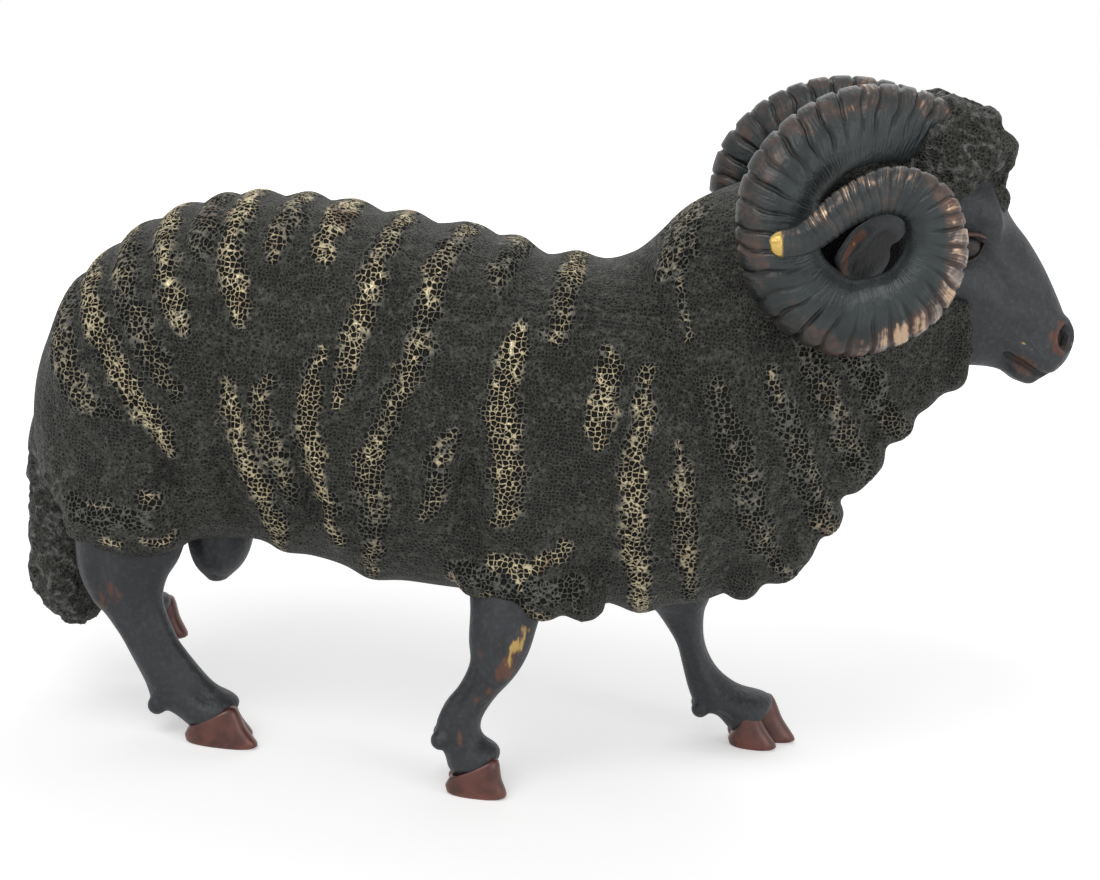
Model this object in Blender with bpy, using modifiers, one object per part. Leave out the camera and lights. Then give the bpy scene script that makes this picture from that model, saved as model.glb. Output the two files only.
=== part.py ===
"""A bronze ram figurine, cast in one piece: a walking ram with coiled, ribbed horns, a fleece that
hangs in deep folds and one hind foot lifted. +X is toward the head, +Z is up, and the soles of
the three standing feet are on Z = 0."""

import math

import bmesh
import bpy
import numpy as np
from mathutils import Matrix, Vector, noise

# All sizes and outlines are in millimetres, and MM turns them into metres.
MM = 0.001

# The main sizes: the length from rump to chest, the height of the back above the ground, and how
# far out the tips of the horns stand
BODY_LENGTH = 180.0
BACK_HEIGHT = 124.0
HORN_SPREAD = 46.0
# The outlines below are drawn for a body and a back of these sizes. A longer body grows in the
# barrel, between the hind and the front legs, and a higher back grows in the shanks.
DRAWN_BODY_LENGTH = 180.0
DRAWN_BACK_HEIGHT = 124.0
BARREL_START = -60.0
BARREL_END = -20.0
SHANK_START = 14.0
SHANK_END = 38.0
# The fleece: its half width at the flank, its folds and how much wider than their crests they
# swell, and the curls of the crown and tail
FLEECE_HALF_WIDTH = 33.0
FOLD_HEIGHT = 2.2
FOLD_SWELL = 1.35
CREASE_DEPTH = 1.8
CREASE_HALF_WIDTH = 2.2
CURL_HEIGHT = 1.3
CURL_SIZE = 6.5
# Where the curls begin: on the crown, in front of and above these, and on the tail, behind and
# below these. Each is where they start to rise and where they are full.
CROWN_CURLS_X = (60.0, 70.0)
CROWN_CURLS_Z = (130.0, 142.0)
TAIL_CURLS_X = (-100.0, -106.0)
TAIL_CURLS_Z = (66.0, 58.0)
# The head, which turns away from the ram's right side
HEAD_TURN_DEGREES = 4.0
NECK_PIVOT_X = 45.0
CROWN_HALF_WIDTH = 17.5
FACE_HALF_WIDTH = 14.0
EYE_RADIUS = 3.4
EYE_LENGTH_SHARE = 1.2
NOSTRIL_RADIUS = 1.7
NOSTRIL_HEIGHT_SHARE = 1.4
MOUTH_GAP = 0.9
EAR_THICKNESS = 3.0
# The horns: the band's breadth, its depth as a share of that, and its ribs, which are lower where
# the band is narrow. The last two sections round off the tip.
HORN_BAND = 17.0
HORN_DEPTH_SHARE = 0.74
HORN_RIBS = 56
RIB_HEIGHT = 0.6
RIB_LEAST_SHARE = 0.4
TIP_ROUNDING = (0.85, 0.45)
# The legs, their dewclaws and the cloven hooves
SHANK_HALF_WIDTH = 5.6
DEWCLAW_RADIUS = 2.5
DEWCLAW_REACH = 2.6
TOE_HALF_WIDTH = 3.1
TOE_GAP = 0.8
SOLE_EDGE = 1.3
HEEL_HEIGHT = 4.2
CORONET_DEPTH = 4.0
# The tail and scrotum
TAIL_HALF_WIDTH = 11.0
SCROTUM_HALF_WIDTH = 8.5

# Sections of the trunk and neck from the rump to the head, as seen from the side: a point on the
# back, a point on the belly or chest, and the half width as a share of the fleece's.
TRUNK = [
    (-116, 79, -115.5, 72, 0.20),
    (-115, 88, -114.5, 60, 0.55),
    (-110.5, 97.5, -109, 52, 0.78),
    (-103, 107, -101, 46.5, 0.91),
    (-93, 115.5, -90, 44, 0.97),
    (-80, 121.5, -77, 44.5, 0.97),
    (-66, 124, -63, 46, 0.95),
    (-50, 123.5, -47, 43, 0.97),
    (-34, 122, -30, 40.5, 1.0),
    (-18, 120.5, -12, 40, 1.0),
    (-4, 117.5, 6, 40.5, 0.98),
    (8, 118, 24, 41, 0.95),
    (18, 123, 39, 43.5, 0.91),
    (27, 131, 51, 51.5, 0.87),
    (36, 138.5, 59.5, 62, 0.82),
    (46, 145, 66, 74, 0.76),
    (57, 149.5, 74, 86.5, 0.68),
    (66, 151.5, 83.5, 96.5, 0.54),
    (73, 152, 91, 101, 0.34),
]
# The wool that hangs over the top of each leg: a point in front, a point behind, the half width.
CUFFS = {
    "right_front": (-18.0, [
        (18, 78, -22, 78, 11.0),
        (16, 64, -20, 64, 13.5),
        (14, 52, -18, 52, 12.5),
        (11, 45, -15, 45, 10.5),
        (5, 42, -9, 42, 6.0),
    ]),
    "left_front": (18.0, [
        (44, 78, 8, 78, 11.0),
        (46, 62, 12, 60, 13.0),
        (45, 49, 18, 46, 12.0),
        (42, 42, 23, 39, 9.5),
        (37, 38.5, 29, 37.5, 5.0),
    ]),
    "right_hind": (-15.0, [
        (-72, 90, -108, 84, 12.0),
        (-72, 72, -110, 72, 15.5),
        (-74, 58, -108, 57, 15.5),
        (-77, 48, -103, 47, 13.0),
        (-82, 43, -99, 43, 8.0),
    ]),
    "left_hind": (16.0, [
        (-78, 90, -110, 84, 12.0),
        (-78, 72, -112, 72, 15.0),
        (-80, 58, -111, 57, 14.5),
        (-84, 48, -108, 47, 12.5),
        (-89, 43, -104, 43, 8.0),
    ]),
}
# The tail from its root to its tip: a point behind, a point in front, the half width as a share.
TAIL = [
    (-108, 92, -94, 88, 0.55),
    (-115, 80, -98, 76, 0.85),
    (-120, 66, -101, 64, 1.0),
    (-119.5, 52, -101, 51, 0.96),
    (-118.5, 38, -100, 38, 0.92),
    (-118, 29, -100, 29, 0.85),
    (-114, 22.5, -101, 22, 0.66),
    (-110, 19.5, -104, 19.5, 0.30),
]
# The wool of the crown, from the nape to the forehead: a point above, a point below, a share.
CROWN = [
    (56, 148, 64, 118, 0.40),
    (61, 158.5, 68, 117, 0.74),
    (69.5, 160.3, 74, 121, 0.94),
    (77, 162.2, 79, 129, 1.02),
    (83.5, 161.6, 83, 136, 0.99),
    (89, 158.4, 86.5, 142, 0.89),
    (93, 153.6, 89.5, 146, 0.75),
    (94.4, 149.6, 91.5, 146.6, 0.50),
]
# Locks of wool that stand out from the throat, the crown and the hems: the middle of each as seen
# from the side, its radius, and how far out from the middle plane each one like it lies.
LOCKS = [
    (87, 102.5, 4.6, (-7, 0, 7)),
    (80, 98.5, 5.0, (-10, -3, 4, 10)),
    (73.5, 92.5, 5.2, (-12, -5, 3, 11)),
    (70, 84, 4.8, (-11, -4, 4, 12)),
    (65.5, 78, 4.8, (-13, -6, 2, 9)),
    (61.5, 69.5, 4.8, (-12, -4, 4, 12)),
    (57.5, 61.5, 4.6, (-14, -7, 0, 8)),
    (53, 56.5, 4.6, (-12, -4, 5, 12)),
    (46.5, 51.5, 4.6, (-15, -8, 0, 8)),
    (72, 158, 4.6, (-7, 2)),
    (79, 159.3, 4.4, (-8, 1, 9)),
    (86, 157.4, 4.4, (-9, -1, 7)),
    (91.2, 152.8, 4.2, (-8, 0, 8)),
    (91.6, 149, 3.6, (-5, 4)),
    (92.2, 141.6, 3.6, (-6, 0, 6)),
    (93.0, 138.2, 3.0, (-3.5, 3.5)),
    (76, 153, 5.4, (-14, 14)),
    (80.5, 146.5, 5.0, (-14.5, 14.5)),
    (12, 45.5, 5.0, (-24, -16)),
    (3, 45, 4.6, (-27, -19)),
    (-12, 48.5, 4.2, (-26, -17)),
    (-100, 50.5, 4.4, (-26, -18)),
    (-90, 49, 4.4, (-26, -18)),
    (-82, 50, 4.2, (-24, -16)),
]
# Locks above this height are on the head, and turn with it.
HEAD_START_Z = 120.0

# Crests of the fleece's folds on the ram's right side, seen from the side, each with the fold's
# half width. The left side mirrors them, and a crest that starts at the back runs over it.
FOLDS = [
    (3.4, [(-108, 100), (-106, 89), (-100, 80), (-93, 78)]),
    (3.4, [(-104, 110), (-102, 101), (-94, 89), (-84, 76), (-80, 71)]),
    (3.4, [(-97, 116), (-93, 103), (-84, 89), (-79, 83)]),
    (3.2, [(-88, 121), (-86, 110), (-79, 97)]),
    (3.0, [(-79, 124), (-79, 112)]),
    (3.4, [(-71, 126), (-72, 114), (-67, 100)]),
    (3.2, [(-59, 126), (-62, 119), (-63, 113)]),
    (3.2, [(-48, 125), (-53, 119), (-51, 113)]),
    (3.4, [(-36, 124), (-40, 115), (-42, 101), (-45, 85)]),
    (3.8, [(-22, 122), (-27, 114), (-29, 97), (-37, 73), (-35, 63), (-36, 46)]),
    (3.4, [(-69, 88), (-67, 77), (-59, 61), (-56, 50)]),
    (3.2, [(-60, 89), (-61, 81), (-53, 63)]),
    (3.4, [(-49, 95), (-51, 81), (-43, 55)]),
    (3.4, [(-11, 121), (-15, 112)]),
    (4.4, [(-8, 104), (-10, 91), (-7, 75), (-7, 64)]),
    (3.4, [(-20, 82), (-24, 63)]),
    (3.4, [(2, 119), (0, 103)]),
    (3.4, [(12, 102), (11, 83)]),
    (3.6, [(20, 99), (20, 73), (23, 56), (25, 40)]),
    (3.2, [(29, 85), (31, 70), (35, 50)]),
    (3.6, [(35, 98), (43, 79), (50, 62), (57, 55)]),
    (3.4, [(46, 102), (56, 81), (62, 68), (68, 66)]),
    (3.6, [(29, 137), (22, 118)]),
    (3.4, [(52, 108), (63, 90), (71, 79)]),
    (3.4, [(58, 114), (70, 97), (77, 90)]),
    (3.0, [(-108, 60), (-98, 54), (-86, 54)]),
    (3.4, [(-16, 52), (-4, 48), (10, 50)]),
]
# The deepest creases between them, seen the same way.
CREASES = [
    [(-71, 92), (-70, 76), (-67, 56)],
    [(-53, 74), (-48, 60)],
    [(17, 118), (25, 101), (30, 94)],
    [(-16, 74), (-14, 62)],
    [(-98, 92), (-86, 76), (-80, 62)],
]

# The bare face: a point on the bridge of the nose, a point under the jaw, the half width.
FACE = [
    (72, 155, 60, 114, 0.89),
    (82, 156, 71, 109, 0.98),
    (90.5, 149, 80, 105.5, 0.95),
    (96.2, 138.5, 86.5, 103.8, 0.84),
    (101.6, 132.6, 91.5, 103.2, 0.73),
    (106, 127, 96, 103.3, 0.635),
    (109.8, 121, 99.5, 102.8, 0.585),
    (112.6, 116, 102.8, 101, 0.555),
    (114.5, 112.2, 106, 100.6, 0.485),
    (114.2, 108.4, 108.8, 102.3, 0.34),
    (112.3, 106, 110.6, 103.9, 0.16),
]
EYE_PLACE = (85.9, 130.3)
EYE_OUT = 11.6
NOSTRIL_PLACE = (111.2, 112.6)
NOSTRIL_OUT = 6.0
MOUTH_CORNER = (99.8, 106.6)
MOUTH_FRONT = (112.0, 101.6)

# The horn's middle line from root to tip, seen from the side, how far out it lies as a share of
# the horns' spread, and its breadth as a share of the band's.
HORN = [
    (84, 147, 0.04, 0.80),
    (73, 154.5, 0.24, 0.93),
    (60, 155.5, 0.435, 0.98),
    (49.5, 151, 0.565, 1.0),
    (42, 142, 0.65, 1.0),
    (41.5, 131, 0.695, 1.0),
    (46, 121.5, 0.717, 1.0),
    (57, 116, 0.75, 0.97),
    (69, 120.5, 0.783, 0.88),
    (74, 130.5, 0.793, 0.79),
    (71, 140.5, 0.826, 0.68),
    (63, 143.5, 0.848, 0.58),
    (54, 139.5, 0.891, 0.47),
    (46, 132.5, 0.946, 0.38),
    (38.5, 130.5, 1.0, 0.30),
]
# The ear, from the head outward and back: a point above, a point below, how far out, its
# thickness as a share.
EAR = [
    (76, 137, 74, 129, 10, 0.9),
    (70, 138.5, 69, 124.5, 17, 1.0),
    (64, 137, 64, 122, 23, 0.95),
    (58.5, 134, 60, 121.5, 27, 0.8),
    (55.3, 129.5, 57, 122.5, 29, 0.55),
    (54.4, 127, 55.4, 124.4, 29.5, 0.3),
]

# Each leg: its side (-1 right, 1 left) and how far out the foot lies. Its sections from inside the
# fleece to the coronet have a point in front, a point behind, the half width in shank widths and
# how much nearer to the middle they lie. Then come the dewclaws' place and the hoof: toe, heel, the
# coronet's front (x, z), the height of the sole and how far back the inner toe is set.
LEGS = {
    "right_front": (
        -1,
        27.0,
        [
            (5, 60, -14, 60, 1.3, 10),
            (4, 46, -13.5, 46, 1.3, 4),
            (2.6, 40, -12.8, 41, 1.15, 2),
            (1.2, 33, -12.4, 34.5, 1.1, 1),
            (-1.2, 27.5, -11.6, 29.5, 1.0, 0.5),
            (-5, 22.3, -13.4, 24, 0.86, 0),
            (-7.4, 17.5, -16.2, 19.5, 0.86, 0),
            (-7.7, 14.2, -17.8, 14, 0.95, 0),
            (-6.2, 12.2, -17, 10.6, 1.02, 0),
            (-4.6, 10, -14.4, 8, 1.02, 0),
            (-3.4, 7.4, -13.6, 4.6, 1.0, 0),
            (-3.4, 5, -12.6, 2.4, 0.92, 0),
        ],
        (-16.2, 11.6),
        (-0.3, -14, -3.2, 9.0, 0, 2.5),
    ),
    "left_front": (
        1,
        26.0,
        [
            (43, 52, 24, 50, 1.3, 9),
            (42, 38, 25, 36, 1.25, 4),
            (41, 32.5, 29.5, 31, 1.1, 1.5),
            (41.6, 26, 34.8, 24, 0.92, 0.5),
            (43.6, 21, 37, 18.5, 0.86, 0),
            (47, 17, 39.4, 12, 0.9, 0),
            (52, 14.2, 42.2, 7.4, 1.0, 0),
            (57.4, 12.6, 47.2, 6.2, 1.02, 0),
            (60, 10.8, 50.3, 3.8, 1.0, 0),
            (60.4, 8, 51.6, 1.8, 0.92, 0),
        ],
        (42.8, 8.0),
        (67.2, 50.5, 60.2, 11.6, 0, 5.0),
    ),
    "right_hind": (
        -1,
        14.5,
        [
            (-77, 57, -105, 55, 1.5, 0),
            (-80, 43, -104, 43, 1.45, -1),
            (-82.8, 37, -102, 35, 1.2, -1),
            (-83.4, 31, -97.5, 28.5, 1.02, 0),
            (-80, 23.5, -93, 23.2, 0.92, 0),
            (-77.5, 20.2, -89.8, 18, 0.88, 0),
            (-72.8, 15.2, -86.3, 12.2, 0.95, 0),
            (-69.5, 12.6, -84, 7.4, 1.02, 0),
            (-66.4, 10.8, -79.6, 5.6, 1.02, 0),
            (-65, 8.6, -76.6, 4.4, 1.0, 0),
            (-65, 6, -75, 2.2, 0.92, 0),
        ],
        (-82.6, 7.5),
        (-58.8, -75.5, -64.6, 9.4, 0, 2.5),
    ),
    "left_hind": (
        1,
        16.0,
        [
            (-86, 57, -109, 55, 1.5, 0),
            (-88, 43, -108, 43, 1.4, 0),
            (-92, 34, -107, 34, 1.15, 0),
            (-93, 28, -105, 28, 0.98, 0),
            (-92, 24, -102.5, 23, 0.95, 0),
            (-89.8, 22.4, -99, 18, 1.02, 0),
            (-88.6, 18, -97.4, 13.6, 0.92, 0),
        ],
        (-100.8, 20.6),
        (-84.2, -97.5, -88.6, 22.2, 12, 2.0),
    ),
}
# The scrotum: a point in front, a point behind, the half width as a share.
SCROTUM = [
    (-68, 56, -82, 56, 0.8),
    (-66.5, 46, -82, 45, 1.0),
    (-68, 39, -80, 38, 0.88),
    (-72, 34, -76, 33.6, 0.35),
]

# How finely the skin is drawn. A grid is the sections along a shape and the sides round it.
CURVE_STEPS = 12
WOOL_GRAIN = 1.5
WOOL_SMOOTHING = 6
WOOL_TRIANGLES = 4480
TRUNK_GRID = (60, 40)
CROWN_GRID = (20, 28)
TAIL_GRID = (20, 20)
CUFF_GRID = (14, 24)
CREST_STEPS = 40
FACE_GRID = (15, 18)
HORN_SIDES = 8
EAR_GRID = (7, 8)
LEG_GRID = (16, 10)
TOE_SIDES = 9
SCROTUM_GRID = (8, 12)
SMALL_BALL = (10, 7)
TINY_BALL = (8, 6)
BLADE = (16, 8)
# Above 2, an oval section bulges toward its corners.
FLANK_SQUARENESS = 2.3
HOOF_SQUARENESS = 2.4


def rise(span, value):
    """How far a value has gone from one end of a span to the other, from 0 to 1."""
    return np.clip((value - span[0]) / (span[1] - span[0]), 0, 1)


def sized(rows, points=2):
    """Rows of the drawing moved to suit the main sizes. Each starts with one or two points."""
    rows = np.array(rows, float)
    for column in range(0, 2 * points, 2):
        x, z = rows[:, column].copy(), rows[:, column + 1].copy()
        rows[:, column] += (BODY_LENGTH - DRAWN_BODY_LENGTH) * rise((BARREL_START, BARREL_END), x)
        rows[:, column + 1] += (BACK_HEIGHT - DRAWN_BACK_HEIGHT) * rise((SHANK_START, SHANK_END), z)
    return rows


def sized_point(x, z):
    return tuple(sized([(x, z)], 1)[0])


def through(rows, count, pace=None):
    """Rows spaced evenly along a smooth curve that passes through the rows given. A column
    named by pace stretches the spacing where it is large."""
    rows = np.array(rows, float)
    ends = np.vstack([2 * rows[0] - rows[1], rows, 2 * rows[-1] - rows[-2]])
    fine = []
    for a, b, c, d in zip(ends, ends[1:], ends[2:], ends[3:]):
        for t in np.arange(CURVE_STEPS) / CURVE_STEPS:
            bend = (2 * a - 5 * b + 4 * c - d) * t**2 + (3 * b - a - 3 * c + d) * t**3
            fine.append(b + 0.5 * ((c - a) * t + bend))
    fine.append(rows[-1])
    fine = np.array(fine)
    steps = np.linalg.norm(np.diff(fine[:, :2], axis=0), axis=1)
    if pace is None:
        steps += np.linalg.norm(np.diff(fine[:, 2:4], axis=0), axis=1)
    else:
        steps /= fine[1:, pace]
    along = np.concatenate([[0], np.cumsum(steps)])
    at = np.linspace(0, along[-1], count)
    return np.stack([np.interp(at, along, column) for column in fine.T], axis=1)


def loft(name, sections, sides, square=2.0):
    """A closed skin over oval sections. Each has two points on the side outline (x, z, x, z),
    a half width across, and a distance from the middle plane."""
    skin = bmesh.new()
    loops = []
    for ax, az, bx, bz, half_width, y in sections:
        middle = Vector(((ax + bx) / 2, y, (az + bz) / 2))
        reach = Vector(((ax - bx) / 2, 0, (az - bz) / 2))
        loop = []
        for side in range(sides):
            turn = 2 * math.pi * side / sides
            up = math.copysign(abs(math.cos(turn)) ** (2 / square), math.cos(turn))
            out = math.copysign(abs(math.sin(turn)) ** (2 / square), math.sin(turn))
            place = middle + reach * up + Vector((0, half_width * out, 0))
            loop.append(skin.verts.new(place * MM))
        loops.append(loop)
    for near, far in zip(loops, loops[1:]):
        for side in range(sides):
            after = (side + 1) % sides
            skin.faces.new((near[side], near[after], far[after], far[side]))
    skin.faces.new(loops[0])
    skin.faces.new(loops[-1])
    bmesh.ops.recalc_face_normals(skin, faces=skin.faces)
    mesh = bpy.data.meshes.new(name)
    skin.to_mesh(mesh)
    skin.free()
    return bpy.data.objects.new(name, mesh)


def shared_widths(rows, half_width):
    """Sections on the middle plane whose half widths are written as shares of one width."""
    return [(*row[:4], row[4] * half_width, 0.0) for row in sized(rows)]


def turned(piece):
    """Turns a piece of the head about the neck."""
    pivot = Vector((sized_point(NECK_PIVOT_X, HEAD_START_Z)[0] * MM, 0, 0))
    turn = Matrix.Rotation(math.radians(HEAD_TURN_DEGREES), 4, "Z")
    piece.data.transform(Matrix.Translation(pivot) @ turn @ Matrix.Translation(-pivot))
    return piece


def sized_area(x_span, z_span):
    """The two spans of an area on the side view, moved to suit the main sizes."""
    (x_start, z_start), (x_full, z_full) = sized(list(zip(x_span, z_span)), 1)
    return (x_start, x_full), (z_start, z_full)


def wool_lift(place, crests, widths, valleys, curled):
    """How far the wool stands out at a place, in millimetres."""
    x, z = place.x / MM, place.z / MM
    over = np.hypot(crests[:, 0] - x, crests[:, 1] - z) / (widths * FOLD_SWELL)
    lift = FOLD_HEIGHT * math.exp(-over.min() ** 2)
    under = np.hypot(valleys[:, 0] - x, valleys[:, 1] - z).min() / CREASE_HALF_WIDTH
    lift -= CREASE_DEPTH * math.exp(-under**2)
    curls = 0.5 - noise.voronoi(place / (CURL_SIZE * MM))[0][0]
    curly = sum(rise(x_span, x) * rise(z_span, z) for x_span, z_span in curled)
    return lift + CURL_HEIGHT * curls * curly


def lock(x, z, radius, out):
    """One tuft of wool."""
    place = sized_point(x, z)
    tuft = ball("lock", place[0], out, place[1], (radius, radius, radius))
    return turned(tuft) if z > HEAD_START_Z else tuft


def line_points(points):
    """Points closely spaced along a line drawn on the side view."""
    rows = [(*point, 0, 0) for point in sized(points, 1)]
    return through(rows, CREST_STEPS)[:, :2]


def wool(shapes):
    """The whole fleece as one skin: trunk, leg tops, tail, crown and locks run into each other."""
    rings, sides = TRUNK_GRID
    trunk = through(shared_widths(TRUNK, FLEECE_HALF_WIDTH), rings)
    pieces = [loft("trunk", trunk, sides, square=FLANK_SQUARENESS)]
    rings, sides = CROWN_GRID
    crown = through(shared_widths(CROWN, CROWN_HALF_WIDTH), rings)
    pieces.append(turned(loft("crown", crown, sides)))
    rings, sides = TAIL_GRID
    tail = through(shared_widths(TAIL, TAIL_HALF_WIDTH), rings)
    pieces.append(loft("tail", tail, sides))
    rings, sides = CUFF_GRID
    for y, sections in CUFFS.values():
        rows = [(*row, y) for row in sized(sections)]
        pieces.append(loft("cuff", through(rows, rings), sides, square=FLANK_SQUARENESS))
    for x, z, radius, outs in LOCKS:
        pieces += [lock(x, z, radius, out) for out in outs]
    together = bmesh.new()
    for piece in pieces:
        together.from_mesh(piece.data)
        bpy.data.objects.remove(piece)
    mesh = bpy.data.meshes.new("wool")
    together.to_mesh(mesh)
    together.free()
    fleece = bpy.data.objects.new("ram_casting", mesh)
    shapes.objects.link(fleece)
    skin = fleece.modifiers.new("one_skin", "REMESH")
    skin.mode = "VOXEL"
    skin.voxel_size = WOOL_GRAIN * MM
    smooth = fleece.modifiers.new("soft", "SMOOTH")
    smooth.iterations = WOOL_SMOOTHING
    graph = bpy.context.evaluated_depsgraph_get()
    fleece.data = bpy.data.meshes.new_from_object(fleece.evaluated_get(graph))
    fleece.modifiers.clear()

    crests = np.vstack([line_points(points) for _, points in FOLDS])
    widths = np.repeat([width for width, _ in FOLDS], CREST_STEPS)
    valleys = np.vstack([line_points(points) for points in CREASES])
    curled = (sized_area(CROWN_CURLS_X, CROWN_CURLS_Z), sized_area(TAIL_CURLS_X, TAIL_CURLS_Z))
    shape = bmesh.new()
    shape.from_mesh(fleece.data)
    shape.normal_update()
    lifts = [
        vert.normal * wool_lift(vert.co, crests, widths, valleys, curled) * MM
        for vert in shape.verts
    ]
    for vert, lift in zip(shape.verts, lifts):
        vert.co += lift
    shape.to_mesh(fleece.data)
    shape.free()
    shapes.objects.unlink(fleece)
    return fleece


def face():
    rings, sides = FACE_GRID
    return turned(loft("face", through(shared_widths(FACE, FACE_HALF_WIDTH), rings), sides))


def horn(side):
    """One horn, ringed by ribs from the root to the tip."""
    rings = HORN_RIBS * 2
    rows = through(sized(HORN, 1), rings, pace=3)
    sections = []
    for index, (x, z, out, share) in enumerate(rows):
        ahead = rows[min(index + 1, rings - 1)] - rows[max(index - 1, 0)]
        length = math.hypot(ahead[0], ahead[1])
        across = (-ahead[1] / length, ahead[0] / length)
        half = HORN_BAND * share / 2
        if index % 2 == 0:
            half -= RIB_HEIGHT * (RIB_LEAST_SHARE + (1 - RIB_LEAST_SHARE) * share)
        if index >= rings - 2:
            half *= TIP_ROUNDING[index - rings + 2]
        sections.append((
            x + across[0] * half, z + across[1] * half,
            x - across[0] * half, z - across[1] * half,
            half * HORN_DEPTH_SHARE, side * out * HORN_SPREAD,
        ))
    return turned(loft("horn", sections, HORN_SIDES))


def ear(side):
    rows = [(*row[:4], row[5] * EAR_THICKNESS, side * row[4]) for row in sized(EAR)]
    rings, sides = EAR_GRID
    return turned(loft("ear", through(rows, rings), sides))


def leg(name):
    side, out, sections = LEGS[name][:3]
    rows = [(*r[:4], r[4] * SHANK_HALF_WIDTH, side * (out - r[5])) for r in sized(sections)]
    rings, sides = LEG_GRID
    return loft("leg", through(rows, rings), sides)


def dewclaws(name):
    """The small pair of claws behind the pastern, as one low swelling."""
    side, out = LEGS[name][:2]
    x, z = sized_point(*LEGS[name][3])
    radii = (DEWCLAW_RADIUS, DEWCLAW_RADIUS + DEWCLAW_REACH, DEWCLAW_RADIUS)
    return ball("dewclaws", x, side * out, z, radii, *TINY_BALL)


def toes(name):
    """The two toes of a cloven hoof, the inner one set back."""
    leg_side, out = LEGS[name][:2]
    toe, heel, front_x, front_z, sole, set_back = LEGS[name][4]
    found = []
    for side in (-1, 1):
        middle = leg_side * out + side * (TOE_HALF_WIDTH + TOE_GAP / 2)
        back = set_back if side != leg_side else 0.0
        tip, crest = toe - back, front_x - back
        heel_top = sole + HEEL_HEIGHT
        rows = sized([
            (tip - SOLE_EDGE, sole, heel + SOLE_EDGE, sole, 0.9),
            (tip, sole + SOLE_EDGE, heel, sole + SOLE_EDGE, 1.0),
            ((tip + crest) / 2, (sole + front_z) / 2, heel, (sole + heel_top) / 2, 1.0),
            (crest, front_z, heel + SOLE_EDGE, heel_top, 0.9),
            (crest - CORONET_DEPTH, front_z + SOLE_EDGE, heel + CORONET_DEPTH, heel_top, 0.5),
        ])
        sections = [(*row[:4], row[4] * TOE_HALF_WIDTH, middle) for row in rows]
        found.append(loft("toe", sections, TOE_SIDES, square=HOOF_SQUARENESS))
    return found


def scrotum():
    rings, sides = SCROTUM_GRID
    return loft("scrotum", through(shared_widths(SCROTUM, SCROTUM_HALF_WIDTH), rings), sides)


def ball(name, x, y, z, radii, segments=SMALL_BALL[0], rings=SMALL_BALL[1]):
    """An egg-shaped ball."""
    shape = bmesh.new()
    bmesh.ops.create_uvsphere(shape, u_segments=segments, v_segments=rings, radius=MM)
    bmesh.ops.scale(shape, vec=radii, verts=shape.verts)
    bmesh.ops.translate(shape, vec=Vector((x, y, z)) * MM, verts=shape.verts)
    mesh = bpy.data.meshes.new(name)
    shape.to_mesh(mesh)
    shape.free()
    return bpy.data.objects.new(name, mesh)


def eye(side):
    x, z = sized_point(*EYE_PLACE)
    radii = (EYE_RADIUS * EYE_LENGTH_SHARE, EYE_RADIUS, EYE_RADIUS)
    return turned(ball("eye", x, side * EYE_OUT, z, radii))


def nostril(side):
    x, z = sized_point(*NOSTRIL_PLACE)
    height = NOSTRIL_RADIUS * NOSTRIL_HEIGHT_SHARE
    radii = (NOSTRIL_RADIUS, height, height)
    return turned(ball("nostril", x, side * NOSTRIL_OUT, z, radii))


def mouth():
    """A thin blade whose cut leaves the line between the lips."""
    corner, front = Vector(sized_point(*MOUTH_CORNER)), Vector(sized_point(*MOUTH_FRONT))
    middle, reach = (corner + front) / 2, (front - corner) / 2
    blade = ball("mouth", 0, 0, 0, (reach.length, FACE_HALF_WIDTH, MOUTH_GAP / 2), *BLADE)
    blade.data.transform(Matrix.Rotation(math.atan2(-reach.y, reach.x), 4, "Y"))
    blade.data.transform(Matrix.Translation(Vector((middle.x, 0, middle.y)) * MM))
    return turned(blade)


def combine(casting, piece, operation):
    piece.hide_render = True
    piece.display_type = "WIRE"
    change = casting.modifiers.new(piece.name, "BOOLEAN")
    change.operation = operation
    change.solver = "EXACT"
    change.object = piece


def bronze():
    """Bronze under a dark green-brown patina."""
    material = bpy.data.materials.new("patinated_bronze")
    material.use_nodes = True
    shader = material.node_tree.nodes["Principled BSDF"]
    shader.inputs["Base Color"].default_value = (0.055, 0.055, 0.045, 1)
    shader.inputs["Metallic"].default_value = 0.6
    shader.inputs["Roughness"].default_value = 0.5
    return material


def main():
    for thing in list(bpy.data.objects):
        bpy.data.objects.remove(thing, do_unlink=True)
    parts = bpy.data.collections.new("bronze_ram_figurine")
    shapes = bpy.data.collections.new("shapes_joined_in_the_casting")
    bpy.context.scene.collection.children.link(parts)
    bpy.context.scene.collection.children.link(shapes)

    casting = wool(shapes)
    count = sum(len(polygon.vertices) - 2 for polygon in casting.data.polygons)
    lighter = casting.modifiers.new("fewer_triangles", "DECIMATE")
    lighter.ratio = WOOL_TRIANGLES / count
    parts.objects.link(casting)
    stand = bpy.data.objects.new("stand", None)
    parts.objects.link(stand)
    casting.parent = stand

    joined = [face(), scrotum()]
    for side in (-1, 1):
        joined += [horn(side), ear(side), eye(side)]
    for name in LEGS:
        joined += [leg(name), dewclaws(name)] + toes(name)
    cut = [nostril(-1), nostril(1), mouth()]
    for piece in joined + cut:
        shapes.objects.link(piece)
        piece.parent = stand
        combine(casting, piece, "DIFFERENCE" if piece in cut else "UNION")
    casting.data.materials.append(bronze())

    # The origin is under the middle of the figure's box.
    mesh = casting.evaluated_get(bpy.context.evaluated_depsgraph_get()).data
    places = np.array([vert.co for vert in mesh.vertices])
    middle = (places.min(axis=0) + places.max(axis=0)) / 2
    stand.location = (-middle[0], -middle[1], 0)


main()
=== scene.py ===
"""The looks of the cast bronze ram: punched fleece, ribbed horns, smooth face and legs."""

import math

import bpy
import numpy as np
from mathutils import Matrix, Vector, noise


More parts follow.
